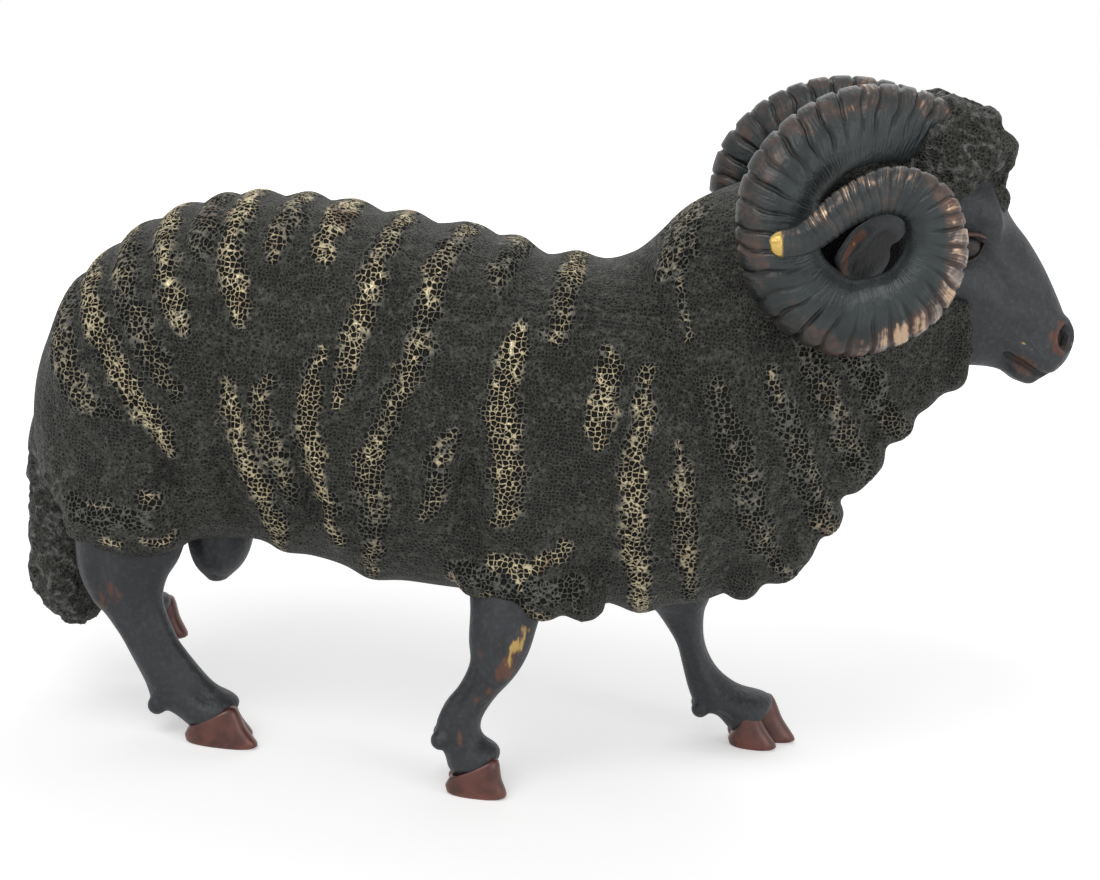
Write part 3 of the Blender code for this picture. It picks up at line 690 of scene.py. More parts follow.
def halved(piece, across, at):
    """Cuts a piece in two, each with its cut face closed: what lies before the cut, and beyond.
    It is cut at a thousand times its size, where points closer than a tenth of a millimetre stay
    apart."""
    piece.data.transform(Matrix.Scale(1 / MM, 4))
    beyond = piece.copy()
    beyond.data = piece.data.copy()
    bpy.context.collection.objects.link(beyond)
    for half, side in ((piece, -1), (beyond, 1)):
        only(half)
        bpy.ops.object.mode_set(mode="EDIT")
        bpy.ops.mesh.select_all(action="SELECT")
        bpy.ops.mesh.bisect(
            plane_co=Vector(across) * at, plane_no=Vector(across) * side, clear_inner=True
        )
        bpy.ops.mesh.select_mode(type="EDGE")
        bpy.ops.mesh.select_all(action="DESELECT")
        bpy.ops.mesh.select_non_manifold(extend=False)
        bpy.ops.mesh.edge_face_add()
        bpy.ops.object.mode_set(mode="OBJECT")
        modified(half, "TRIANGULATE", min_vertices=5)
        half.data.transform(Matrix.Scale(MM, 4))
    return piece, beyond


def on_middle_plane(rows, half_width=1.0):
    return [(*row[:4], row[4] * half_width, 0.0) for row in rows]


def bell(distance, width, power=2):
    """1 in the middle of a mark, fading to 0 beyond its width."""
    return np.exp(-(distance / width) ** power)


def near_line(places, line, samples=24, taper=0.0):
    """How far each place is from a line drawn on the side view. Taper narrows the line's ends."""
    points = through([(*p, 0, 0) for p in line], samples)[:, :2]
    breadth = 1 - taper * np.abs(np.linspace(-1, 1, samples)) ** 3
    found = np.full(len(places), FAR)
    for (x, z), share in zip(points, breadth):
        found = np.minimum(found, np.hypot(places[:, 0] - x, places[:, 2] - z) / share)
    return found


def near_folds(places, folds, **drawn):
    """How far each place is from each of the folds, in their half widths."""
    return np.array([near_line(places, line, **drawn) / width for width, _, line in folds])


def stroked(piece, strokes):
    """Raises or sinks the skin along lines drawn on the side view."""
    places, normals = places_of(piece), normals_of(piece)
    aside = soft_step(0.15, 0.6, np.abs(normals[:, 1]))
    lift = np.zeros(len(places))
    for line, half_width, height in strokes:
        lift += height * bell(near_line(places, line), half_width) * aside
    set_places(piece, places + normals * lift[:, None])


def turned_head(piece):
    pivot = Vector((NECK_PIVOT_X * MM, 0, 0))
    turn = Matrix.Rotation(HEAD_TURN, 4, "Z")
    piece.data.transform(Matrix.Translation(pivot) @ turn @ Matrix.Translation(-pivot))
    return piece


def joined(pieces):
    """Several shapes as one piece."""
    bpy.ops.object.select_all(action="DESELECT")
    for piece in pieces:
        piece.select_set(True)
    bpy.context.view_layer.objects.active = pieces[0]
    bpy.ops.object.join()
    return pieces[0]


def finished(piece, name, material, angle=None):
    """Puts a piece in its place on the figure and gives it its name and its metal."""
    piece.name = piece.data.name = name
    piece.data.transform(Matrix.Translation(DRAWING * MM))
    piece.data.materials.clear()
    piece.data.materials.append(material)
    only(piece)
    if angle is None:
        bpy.ops.object.shade_smooth()
    else:
        bpy.ops.object.shade_smooth_by_angle(angle=math.radians(angle))
    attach(piece, BODY)
    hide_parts(NODE)
    return piece


def add(tree, kind, inputs=(), out=None, **settings):
    """Adds a node with its settings and links, and gives the output named, or else its first one
    in use. Inputs are numbers, colours or other nodes' outputs, by name or in the sockets' order."""
    kind, usual = kind if isinstance(kind, tuple) else (kind, {})
    made = tree.nodes.new(kind)
    for name, value in {**usual, **settings}.items():
        setattr(made, name, value)
    if isinstance(inputs, dict):
        given = [(made.inputs[name], value) for name, value in inputs.items()]
    else:
        given = list(zip([socket for socket in made.inputs if socket.enabled], inputs))
    for socket, value in given:
        if isinstance(value, bpy.types.NodeSocket):
            tree.links.new(value, socket)
        elif socket.type == "RGBA":
            socket.default_value = (*value[:3], 1)
        else:
            socket.default_value = value
    return made.outputs[out] if out else next((s for s in made.outputs if s.enabled), None)


def metal(name, **inputs):
    """A material with a Principled shader, its tree and the shader."""
    material = bpy.data.materials.new(name)
    material.use_nodes = True
    shader = material.node_tree.nodes["Principled BSDF"]
    for key, value in inputs.items():
        shader.inputs[key.replace("_", " ")].default_value = value
    return material, material.node_tree, shader


def punch_marks(tree, place, size):
    """Marks of a ring punch struck side by side: how far each place is from the wall they share.
    The marks wander a little, so that they stand in no straight rows."""
    wobble = add(tree, NOISE, (place, 0.6 / size, 1.0), out="Color")
    aside = add(
        tree, "ShaderNodeVectorMath", (wobble, (0.9 * size,) * 3, place), operation="MULTIPLY_ADD"
    )
    return add(
        tree, "ShaderNodeTexVoronoi", {"Vector": aside, "Scale": 1 / size, "Randomness": 0.7},
        feature="DISTANCE_TO_EDGE",
    )


def times(share, colour_value):
    """A colour that many times as bright."""
    return tuple(min(c * share, 1.0) for c in colour_value)


def link(tree, shader, outputs):
    for name, output in outputs.items():
        tree.links.new(output, shader.inputs[name])


def punched_bronze(sizes, colours):
    """Statuary bronze whose wool is struck with ring punches and darkened with a green-brown
    patina: matt and nearly black in the pits, from that patina and from painted shade, with walls
    painted paler, partly rubbed and partly painted highlight, pale brass walls where the crests
    of the folds have been handled, and painted shade in the hole of the horn's coil."""
    material, tree, shader = metal("punched_statuary_bronze")
    rest = add(tree, "ShaderNodeAttribute", out="Vector", attribute_name="rest")
    fold, worn, curl, strand, shade = (
        add(tree, "ShaderNodeAttribute", out="Fac", attribute_name=name)
        for name in ("fold", "worn", "curl", "strand", "shade")
    )
    rings = punch_marks(tree, rest, sizes.ring_size)
    pricks = punch_marks(tree, rest, sizes.prick_size)
    # Handling wears in patches of about a centimetre, and the walls in streaks of a millimetre.
    patches = add(tree, NOISE, (rest, 1 / 0.011, 3.0))
    broken = add(tree, NOISE, (rest, 1 / 0.0042, 2.0))
    streaks = add(tree, NOISE, (rest, 1 / 0.0016, 2.0))
    grain = add(tree, NOISE, (rest, 1 / 0.0006, 2.0))
    # Some walls are thicker than others.
    thicker = add(tree, SOFT_RANGE, (streaks, 0.35, 0.65, -0.01, 0.03))
    thick = add(tree, "ShaderNodeMath", (rings, thicker), operation="SUBTRACT")
    ring_wall = add(tree, SOFT_RANGE, (thick, 0.03, 0.12, 1.0, 0.0))
    ring_pit = add(tree, SOFT_RANGE, (rings, 0.07, 0.22))
    prick_wall = add(tree, SOFT_RANGE, (pricks, 0.02, 0.16, 1.0, 0.0))
    prick_pit = add(tree, SOFT_RANGE, (pricks, 0.14, 0.34))
    # The rings keep to the folds, with a broken edge.
    edge = add(tree, SUM, (fold, add(tree, PRODUCT, (broken, 1.1))))
    here = add(tree, SOFT_RANGE, (edge, 0.78, 1.08))
    rubbed = add(tree, SUM, (worn, add(tree, PRODUCT, (patches, 1.3))))
    rubbed = add(tree, SUM, (rubbed, add(tree, PRODUCT, (streaks, 1.1))))
    bare = add(tree, PRODUCT, (add(tree, SOFT_RANGE, (rubbed, 1.45, 2.35)), ring_wall))
    bare = add(tree, PRODUCT, (bare, here))
    pit = add(tree, MIX, (here, prick_pit, ring_pit))
    some = add(tree, SOFT_RANGE, (streaks, 0.3, 0.7, 0.1, 0.8))
    wall = add(tree, MIX, (here, add(tree, PRODUCT, (prick_wall, some)), ring_wall))

    mottled = add(tree, SOFT_RANGE, (patches, 0.35, 0.65))
    base = add(tree, COLOUR_MIX, (mottled, times(0.6, colours.ground), colours.ground))
    # Patina and painted shade: the pits are painted dark, for the patina in them and for the shade
    # they hold.
    base = add(tree, COLOUR_MIX, (pit, base, colours.pit))
    # Painted highlight and wear: the walls between the punch marks are painted paler, some of them
    # more, by streaks.
    base = add(tree, COLOUR_MIX, (add(tree, PRODUCT, (wall, 0.8)), base, colours.wall))
    strands = add(tree, PRODUCT, (curl, add(tree, SOFT_RANGE, (strand, 0.55, 0.95))))
    strands = add(tree, PRODUCT, (strands, add(tree, SOFT_RANGE, (streaks, 0.42, 0.62))))
    base = add(tree, COLOUR_MIX, (strands, base, colours.strand))
    copper_here = add(tree, SOFT_RANGE, (patches, 0.60, 0.70, 0.0, 0.8))
    worn_metal = add(tree, COLOUR_MIX, (copper_here, colours.brass, colours.copper))
    base = add(tree, COLOUR_MIX, (bare, base, worn_metal))
    # Painted shade: the wool in the hole of the horn's coil turns to the unlit colour.
    base = add(tree, COLOUR_MIX, (shade, base, UNLIT))

    # Less reflection where shade is painted: in the hole of the horn's coil and in the pits.
    shade_and_pit = add(tree, LARGER, (shade, add(tree, PRODUCT, (pit, 0.7))))
    low = add(tree, SUM, (pricks, add(tree, PRODUCT, (grain, 0.5))))
    prick_depth = add(tree, SOFT_RANGE, (low, 0.15, 0.6, 0.9, 0.0))
    ring_depth = add(tree, SOFT_RANGE, (rings, 0.0, 0.3, 1.0, 0.0))
    relief = add(tree, MIX, (here, prick_depth, ring_depth))
    link(tree, shader, {
        "Base Color": base,
        "Metallic": add(tree, SOFT_RANGE, (bare, 0.0, 1.0, 0.15, 0.7)),
        "Roughness": add(tree, SOFT_RANGE, (bare, 0.0, 1.0, 0.62, 0.36)),
        "Specular IOR Level": add(tree, SOFT_RANGE, (shade_and_pit, 0.0, 1.0, 0.34, 0.11)),
        "Normal": add(tree, BUMP, {"Height": relief, "Strength": 1.0, "Distance": 0.0005}),
    })
    return material


def skin_bronze(colours):
    """Bronze chased smooth and patinated blue-black, with a wax polish: a low soft gloss, with painted
    shade black in the recesses, with copper and a little gold showing where hands have rubbed it,
    and a painted highlight in gold at the front of the muzzle."""
    material, tree, shader = metal("waxed_skin_bronze", Metallic=0.25, Specular_IOR_Level=0.35)
    place = add(tree, "ShaderNodeTexCoord", out="Object")
    worn, gilt, shade = (
        add(tree, "ShaderNodeAttribute", out="Fac", attribute_name=name)
        for name in ("worn", "gilt", "shade")
    )
    patches = add(tree, NOISE, (place, 1 / 0.006, 4.0))
    grain = add(tree, NOISE, (place, 1 / 0.0011, 3.0))
    # The rubbed spots break up along the strokes of the chasing, which run down the legs.
    streaks = add(tree, "ShaderNodeMapping", {"Vector": place, "Scale": (1.0, 1.0, 0.35)})
    streaks = add(tree, NOISE, (streaks, 1 / 0.0012, 2.0))
    broken = add(tree, SUM, (
        add(tree, PRODUCT, (streaks, 1.6)), add(tree, PRODUCT, (patches, 0.6)),
    ))
    bare = add(tree, SOFT_RANGE, (add(tree, SUM, (worn, broken)), 1.55, 2.15, 0.0, 0.9))
    golden = add(tree, SOFT_RANGE, (add(tree, SUM, (gilt, broken)), 1.62, 2.0, 0.0, 0.8))

    mottled = add(tree, SOFT_RANGE, (patches, 0.35, 0.62))
    base = add(tree, COLOUR_MIX, (mottled, times(0.78, colours.skin), colours.skin))
    speckle = add(tree, SOFT_RANGE, (grain, 0.45, 0.75, 0.0, 0.13))
    base = add(tree, COLOUR_MIX, (speckle, base, colours.strand))
    base = add(tree, COLOUR_MIX, (bare, base, colours.copper))
    base = add(tree, COLOUR_MIX, (golden, base, colours.gold))
    # Painted shade: the shade attribute blackens the face's recesses, the eyeball's lower part and the
    # ear's hollow.
    base = add(tree, COLOUR_MIX, (add(tree, PRODUCT, (shade, 0.9)), base, colours.pit))
    relief = add(tree, SUM, (grain, add(tree, PRODUCT, (patches, 2.0))))
    link(tree, shader, {
        "Base Color": base,
        "Roughness": add(tree, SOFT_RANGE, (golden, 0.0, 1.0, 0.48, 0.34)),
        "Normal": add(tree, BUMP, {"Height": relief, "Strength": 0.5, "Distance": 0.0005}),
    })
    return material


def horn_bronze(colours):
    """Bronze chased into ribs and patinated green-black: a soft gloss on the ribs, where the
    patina has worn to brown copper on the outer edge, with painted highlights, partly bare bright
    metal, on the most handled crests; the grooves are dull, darkened by patina and painted shade.
    The tip is polished bright."""
    material, tree, shader = metal("chased_horn_bronze", Specular_IOR_Level=0.45)
    place = add(tree, "ShaderNodeTexCoord", out="Object")
    worn, groove, gleam, phase, tip = (
        add(tree, "ShaderNodeAttribute", out="Fac", attribute_name=name)
        for name in ("worn", "groove", "gleam", "phase", "tip")
    )
    patches = add(tree, NOISE, (place, 1 / 0.006, 4.0))
    grain = add(tree, NOISE, (place, 1 / 0.0014, 3.0))
    # The chasing leaves fine lines across the horn, about six to a rib.
    lines = add(tree, SUM, (add(tree, PRODUCT, (phase, 6.0)), patches))
    lines = add(tree, NOISE, {"W": lines, "Scale": 1.0, "Detail": 1.0}, noise_dimensions="1D")
    broken = add(tree, SUM, (patches, add(tree, PRODUCT, (grain, 0.7))))
    bare = add(tree, SOFT_RANGE, (add(tree, SUM, (worn, broken)), 1.15, 1.75, 0.0, 0.85))
    flecks = add(tree, PRODUCT, (add(tree, SUM, (lines, grain)), 0.8))
    # Painted highlight: bright spots on the rib crests, partly bare metal.
    bright = add(tree, SUM, (add(tree, SUM, (gleam, flecks)), patches))
    bright = add(tree, SOFT_RANGE, (bright, 1.95, 2.45))

    dark = times(0.5, colours.horn)
    mottled = add(tree, SOFT_RANGE, (patches, 0.35, 0.65))
    base = add(tree, COLOUR_MIX, (mottled, dark, colours.horn))
    lined = add(tree, SOFT_RANGE, (lines, 0.40, 0.62, 0.4, 0.0))
    base = add(tree, COLOUR_MIX, (lined, base, dark))
    base = add(tree, COLOUR_MIX, (bare, base, colours.copper))
    warm = add(tree, SOFT_RANGE, (patches, 0.45, 0.6))
    # Painted highlight colour, warm in some patches and grey in others.
    highlight_colour = add(tree, COLOUR_MIX, (warm, colours.grey_highlight, colours.rib_highlight))
    base = add(tree, COLOUR_MIX, (bright, base, highlight_colour))
    # Patina and painted shade: the grooves between the ribs are painted dark.
    base = add(tree, COLOUR_MIX, (add(tree, PRODUCT, (groove, 0.9)), base, colours.pit))
    base = add(tree, COLOUR_MIX, (tip, base, colours.gold))
    polish_and_highlight = add(tree, LARGER, (bright, tip))
    relief = add(tree, SUM, (grain, add(tree, PRODUCT, (lines, 0.6))))
    link(tree, shader, {
        "Base Color": base,
        "Metallic": add(tree, SOFT_RANGE, (polish_and_highlight, 0.0, 1.0, 0.2, 0.9)),
        "Roughness": add(tree, SOFT_RANGE, (polish_and_highlight, 0.0, 1.0, 0.38, 0.24)),
        "Normal": add(tree, BUMP, {"Height": relief, "Strength": 0.5, "Distance": 0.0004}),
    })
    return material


def hoof_bronze(colours):
    """Bronze hooves rubbed back to a red copper and lacquered: smooth and warm with a soft
    gloss, paler along the ground."""
    material, tree, shader = metal(
        "lacquered_red_bronze", Metallic=0.3, Roughness=0.4, Coat_Weight=0.3, Coat_Roughness=0.25
    )
    place = add(tree, "ShaderNodeTexCoord", out="Object")
    patches = add(tree, NOISE, (place, 1 / 0.004, 4.0))
    low = add(tree, "ShaderNodeSeparateXYZ", {"Vector": place}, out="Z")
    mottled = add(tree, SOFT_RANGE, (patches, 0.3, 0.7))
    base = add(tree, COLOUR_MIX, (mottled, times(0.5, colours.hoof), colours.hoof))
    ground = add(tree, PRODUCT, (
        add(tree, SOFT_RANGE, (low, 0.0, 0.004, 0.6, 0.0)),
        add(tree, SOFT_RANGE, (patches, 0.4, 0.6)),
    ))
    base = add(tree, COLOUR_MIX, (ground, base, times(1.7, colours.hoof)))
    link(tree, shader, {"Base Color": base})
    return material


def keep_rest(piece):
    """Stores where each face corner lies before the relief, pressed nearly flat along the axis
    that its face looks along, so that the punch marks there stay round."""
    mesh = piece.data
    corners, sides = np.empty(len(mesh.loops), int), np.empty(len(mesh.polygons), int)
    mesh.loops.foreach_get("vertex_index", corners)
    mesh.polygons.foreach_get("loop_total", sides)
    looks = np.empty(len(mesh.vertices) * 3, np.float32)
    mesh.attributes["broad_normal"].data.foreach_get("vector", looks)
    first = np.concatenate([[0], np.cumsum(sides)[:-1]])
    axis = np.abs(looks.reshape(-1, 3)[corners[first]]).argmax(axis=1)
    share = np.where(np.arange(3) == axis[:, None], 0.3, 1.0)
    layer = mesh.attributes.new("rest", "FLOAT_VECTOR", "CORNER")
    rest = places_of(piece)[corners] * MM * np.repeat(share, sides, axis=0)
    layer.data.foreach_set("vector", rest.astype(np.float32).ravel())


def ring_relief(sizes):
    """A node tree that sinks the punched rings into the crests of the folds."""
    tree = bpy.data.node_groups.new("ring_relief", "GeometryNodeTree")
    tree.interface.new_socket("Geometry", in_out="INPUT", socket_type="NodeSocketGeometry")
    tree.interface.new_socket("Geometry", in_out="OUTPUT", socket_type="NodeSocketGeometry")
    begin = add(tree, "NodeGroupInput")
    kind = "GeometryNodeInputNamedAttribute"
    flat = add(tree, kind, {"Name": "rest"}, out="Attribute", data_type="FLOAT_VECTOR")
    fold = add(tree, kind, {"Name": "fold"}, out="Attribute", data_type="FLOAT")
    pit = add(tree, SOFT_RANGE, (punch_marks(tree, flat, sizes.ring_size), 0.05, 0.25))
    sunk = add(tree, SOFT_RANGE, (fold, 0.2, 0.5, 0.0, -sizes.ring_depth))
    depth = add(tree, PRODUCT, (pit, sunk))
    normal = add(tree, "GeometryNodeInputNormal", out="Normal")
    offset = add(
        tree, "ShaderNodeVectorMath", {"Vector": normal, "Scale": depth}, operation="SCALE"
    )
    moved = add(tree, "GeometryNodeSetPosition", {"Geometry": begin, "Offset": offset})
    add(tree, "NodeGroupOutput", {0: moved})
    return tree


class RAM_OT_fleece(bpy.types.Operator):
    """Model the fleece: trunk, leg tops, tail and crown in one skin with folds and punched rings"""

    bl_idname = "ram.fleece"
    bl_label = "Fleece"

    def execute(self, context):
        sizes, colours = context.scene.ram_sizes, context.scene.ram_colours
        trunk = wrapped(through(on_middle_plane(TRUNK, FLEECE_HALF_WIDTH), 110), 96, 2.3)[0]
        crown = wrapped(through(on_middle_plane(CROWN, CROWN_HALF_WIDTH), 40), 64)[0]
        tail = wrapped(through(on_middle_plane(TAIL, TAIL_HALF_WIDTH), 40), 40)[0]
        cuffs = [
            wrapped(through([(*row, y) for row in rows], 30), 48, 2.3)[0]
            for y, rows in CUFFS
        ]
        locks = []
        for x, z, radius, outs in LOCKS:
            for y in outs:
                lock = egg((x, y, z), (radius,) * 3)
                locks.append(turned_head(lock) if z > HEAD_START_Z else lock)
        fleece = joined([trunk, turned_head(crown), tail, *cuffs, *locks])
        modified(fleece, "REMESH", mode="VOXEL", voxel_size=1.5 * MM)
        modified(fleece, "SMOOTH", iterations=6)
        refined(fleece, 1)

        places, normals = places_of(fleece), normals_of(fleece)
        x, z = places[:, 0], places[:, 2]
        # The worn bands sway by up to 2 mm about the folds, in bends of about 4 mm.
        noise.seed_set(SWAY_SEED)
        sway = np.array([noise.noise_vector(Vector(place) / 4.0) for place in places])
        swayed = places + 1.8 * sway
        nearest = near_folds(places, FOLDS, samples=FOLD_SAMPLES).min(axis=0)
        over = np.vstack([
            near_folds(swayed, FOLDS, samples=FOLD_SAMPLES, taper=0.45),
            near_folds(swayed, CLUSTERS, samples=10),
        ])
        wear = np.array([row[1] for row in FOLDS + CLUSTERS])
        fold = bell(over.min(axis=0), 1)
        under = np.min([near_line(places, line) for line in CREASES], axis=0)
        crown_here = soft_step(130, 142, z) * soft_step(60, 70, x)
        tail_here = soft_step(100, 106, -x) * soft_step(-66, -58, -z)
        curly = np.maximum(crown_here, tail_here)
        curl, strand = np.zeros(len(places)), np.zeros(len(places))
        for index in np.flatnonzero(curly > 0):
            place = Vector(places[index]) * MM
            curl[index] = 0.5 - noise.voronoi(place / sizes.curl_size)[0][0]
            strand[index] = 1 - 2 * abs(noise.noise(place / sizes.strand_size))
        lift = sizes.fold_height * bell(nearest, sizes.fold_swell)
        lift -= sizes.crease_depth * bell(under, CREASE_HALF_WIDTH)
        lift += (sizes.curl_height * curl + sizes.strand_height * (strand - 0.7)) * curly
        set_places(fleece, places + normals * lift[:, None] / MM)
        # Painted shade: the wool seen through the hole in the horn's coil is marked in the shade
        # attribute, which the material paints nearly black.
        reach = np.hypot(x - COIL_OPENING[0], z - COIL_OPENING[1]) / COIL_OPENING[2]
        beside = (z > COIL_LOWEST) & (np.abs(places[:, 1]) > COIL_NEAREST)
        paint(
            fleece, fold=fold * (1 - curly), curl=curly, strand=strand,
            worn=fold * wear[over.argmin(axis=0)],
            shade=(1 - soft_step(0.8, 1.2, reach)) * beside,
        )
        layer = fleece.data.attributes.new("broad_normal", "FLOAT_VECTOR", "POINT")
        layer.data.foreach_set("vector", normals.astype(np.float32).ravel())

        only(fleece)
        mesh = fleece.data
        middle = np.array([p.center[:] for p in mesh.polygons]) / MM
        crest = near_folds(middle, FOLDS, samples=FOLD_SAMPLES).min(axis=0)
        mesh.polygons.foreach_set("select", crest < 0.9)
        bpy.ops.object.mode_set(mode="EDIT")
        bpy.ops.mesh.select_mode(type="FACE")
        bpy.ops.mesh.subdivide(number_cuts=1)
        bpy.ops.object.mode_set(mode="OBJECT")
        keep_rest(fleece)
        modified(fleece, "NODES", node_group=ring_relief(sizes))

        material = punched_bronze(sizes, colours)
        right, left = halved(fleece, (0, 1, 0), 0)
        for name, half in (("right", right), ("left", left)):
            for end, piece in zip(("rear", "fore"), halved(half, (1, 0, 0), SADDLE_X)):
                finished(piece, f"fleece_{name}_{end}", material, angle=60)
        return {"FINISHED"}


def skin_marks(piece, shade=(), least_dark=0.0, least_gilt=0.0):
    """Paints where the skin is rubbed bare, with one painted highlight among those spots, and
    paints shade into its recesses.
    """
    places = places_of(piece)
    worn, gilt, dark = np.zeros((3, len(places)))
    for (x, z), side, radius, copper, gold in SKIN_WEAR:
        distance = np.hypot(places[:, 0] - x, places[:, 2] - z)
        spot = bell(distance, radius) * (places[:, 1] * side > 0)
        worn += copper * spot
        gilt += gold * spot
    for line, half_width, depth in shade:
        dark = np.maximum(dark, depth * bell(near_line(places, line), half_width))
    gilt, dark = np.maximum(gilt, least_gilt), np.maximum(dark, least_dark)
    paint(piece, worn=worn, gilt=gilt, shade=dark)


class RAM_OT_face(bpy.types.Operator):
    """Model the bare face with its brow, cheek, nostrils and mouth, and the eyes"""

    bl_idname = "ram.face"
    bl_label = "Face and eyes"

    def execute(self, context):
        sizes, colours = context.scene.ram_sizes, context.scene.ram_colours
        material = skin_bronze(colours)
        face = wrapped(through(on_middle_plane(FACE), 90), 96, 2.15)[0]
        stroked(face, FACE_STROKES)
        refined(face, 1)
        places, normals = places_of(face), normals_of(face)
        reach = np.hypot(
            (places[:, 0] - NOSTRIL[0]) / NOSTRIL_SIZE[0],
            (places[:, 2] - NOSTRIL[1]) / NOSTRIL_SIZE[1],
        )
        aside = soft_step(2.0, 3.5, np.abs(places[:, 1]))
        hole = bell(reach, 1, 4) * aside
        nick = bell(near_line(places, FACE_NICK), 0.35) * (places[:, 1] < 0)
        rim = 0.7 * bell(reach - 1.3, 0.4) * aside
        set_places(face, places + normals * (rim - 2.2 * hole - 0.3 * nick)[:, None])
        # Painted shade: the nostril's hole and the face's recesses are painted dark.
        skin_marks(face, FACE_SHADE, hole, 0.6 * nick)
        finished(turned_head(face), "face", material)
        for side in (-1, 1):
            radius = sizes.eye_radius / MM
            place = np.array((EYE_PLACE[0], side * EYE_OUT, EYE_PLACE[1]))
            parts = [egg(place, (radius * 1.15, radius, radius), 48, 32)]
            for line in LIDS:
                rows = [
                    (place[0] + dx, place[2] + dz + 0.5, place[0] + dx, place[2] + dz - 0.5,
                     1.0, place[1] + side * out)
                    for dx, dz, out in through([(*p, 0) for p in line], 24)[:, :3]
                ]
                parts.append(wrapped(rows, 20)[0])
            eye = joined(parts)
            height = places_of(eye)[:, 2] - EYE_PLACE[1]
            # The eye is copper-brown, more so at the lid; its lower part is darkened with painted
            # shade.
            paint(
                eye, worn=0.55 + 0.2 * soft_step(2.0, 3.2, height), gilt=np.zeros(len(height)),
                shade=0.6 * soft_step(1.8, 0.6, height),
            )
            finished(turned_head(eye), "eye_" + SIDES[side], material)
        return {"FINISHED"}


class RAM_OT_horns(bpy.types.Operator):
    """Model the two coiled horns with their ribs"""

    bl_idname = "ram.horns"
    bl_label = "Horns"

    def execute(self, context):
        sizes, colours = context.scene.ram_sizes, context.scene.ram_colours
        material = horn_bronze(colours)
        ribs, rings = sizes.rib_count, HORN_RINGS
        rows = through(HORN, rings)
        ahead = np.gradient(rows[:, :2], axis=0)
        step = np.linalg.norm(ahead, axis=1)
        ahead /= step[:, None]
        # Ribs are as broad as the horn is where they stand.
        ribbed = np.cumsum(step / rows[:, 3])
        ribbed = np.concatenate([[0], ribbed, ribbed[-1:]]) / ribbed[-1] * ribs
        half = HORN_BAND * rows[:, 3] / 2
        to_tip = np.cumsum(step[::-1])[::-1] / half[-1]
        half = half * np.sqrt(1 - (1 - np.clip(to_tip, 0.02, 1)) ** 2)
        for side in (-1, 1):
            sections = np.stack([
                rows[:, 0] - ahead[:, 1] * half, rows[:, 1] + ahead[:, 0] * half,
                rows[:, 0] + ahead[:, 1] * half, rows[:, 1] - ahead[:, 0] * half,
                half * HORN_DEPTH_SHARE, side * rows[:, 2],
            ], axis=1)
            horn, ring, turn = wrapped(sections, 64)
            places, normals = places_of(horn), normals_of(horn)
            outer = (1 - np.cos(turn)) / 2
            along = ribbed[ring] / ribs
            waver = np.array([noise.noise(Vector(place) / 5.0) for place in places])
            # The ribs lean back from the outer edge, and die away toward the inner one.
            phase = ribbed[ring] + 0.7 * outer + 0.25 * waver
            uneven = np.array([noise.noise((index * 1.7, side, 0.5)) for index in range(ribs + 3)])
            uneven = 1 + 0.5 * uneven[np.floor(phase).astype(int)]
            gap = np.abs((phase + 0.5) % 1.0 - 0.5)
            middle = np.abs((phase + 0.45 * uneven + 0.05) % 1.0 - 0.5)
            # These are shares of the horn's length, from its root to its tip.
            coil = soft_step(0.60, 0.68, along)
            tip = soft_step(0.960, 0.968, along)
            groove = bell(gap, 0.085)
            fine = bell(middle, 0.07) * (1 - coil)
            strong = np.maximum(soft_step(0.28, 0.62, outer), 0.6 * coil)
            strong = strong * (1 - soft_step(0.86, 0.90, along))
            share = rows[np.clip(ring - 1, 0, rings - 1), 3]
            lift = sizes.rib_height / MM * (0.35 + 0.65 * share) * strong
            lift = lift * (0.15 * uneven - 0.75 * groove - 0.5 * fine)
            set_places(horn, places + normals * lift[:, None])
            # Where the grooves lie, which the material paints dark, as patina and as painted shade.
            deep = np.maximum(groove, 0.7 * fine)
            lower = soft_step(0.38, 0.46, along) * (1 - soft_step(0.56, 0.66, along))
            edge = soft_step(0.45, 0.80, outer)
            band = soft_step(0.04, 0.08, along) * (1 - soft_step(0.14, 0.22, along))
            # Painted highlights, partly bare metal: most at the coil's lower outer edge, fewer along
            # the outer edge elsewhere.
            gleam = np.maximum.reduce([
                edge * lower, 0.75 * coil * edge, 0.6 * band * edge, 0.25 * edge,
            ])
            paint(
                horn, phase=phase, tip=tip, groove=deep * (0.1 + 0.9 * strong) * (1 - tip),
                worn=np.maximum(edge * (0.45 + 0.3 * lower), 0.35 * coil),
                gleam=gleam * (0.6 + 0.4 * uneven) * (1 - deep) * (1 - tip),
            )
            finished(turned_head(horn), "horn_" + SIDES[side], material)
        return {"FINISHED"}


class RAM_OT_ears(bpy.types.Operator):
    """Model the ears, which point out through the coils of the horns"""

    bl_idname = "ram.ears"
    bl_label = "Ears"

    def execute(self, context):
        material = skin_bronze(context.scene.ram_colours)
        for side in (-1, 1):
            rows = [(*row[:4], row[5], side * row[4]) for row in EAR]
            ear = wrapped(through(rows, 40), 48)[0]
            places, normals = places_of(ear), normals_of(ear)
            outside = soft_step(0.0, 0.5, normals[:, 1] * side)
            hollow = bell(near_line(places, EAR_HOLLOW), 3.0, 4) * outside
            set_places(ear, places - normals * (1.3 * hollow)[:, None])
            refined(ear, 1)
            places = places_of(ear)
            streak = bell(near_line(places, EAR_STREAK), 0.9)
            # Painted shade: the ear's hollow is painted dark, except along the copper streak.
            shade = 0.8 * bell(near_line(places, EAR_HOLLOW), 3.2, 4) * (1 - streak)
            paint(ear, worn=1.4 * streak, gilt=0.3 * streak, shade=shade)
            finished(turned_head(ear), "ear_" + SIDES[side], material)
        return {"FINISHED"}


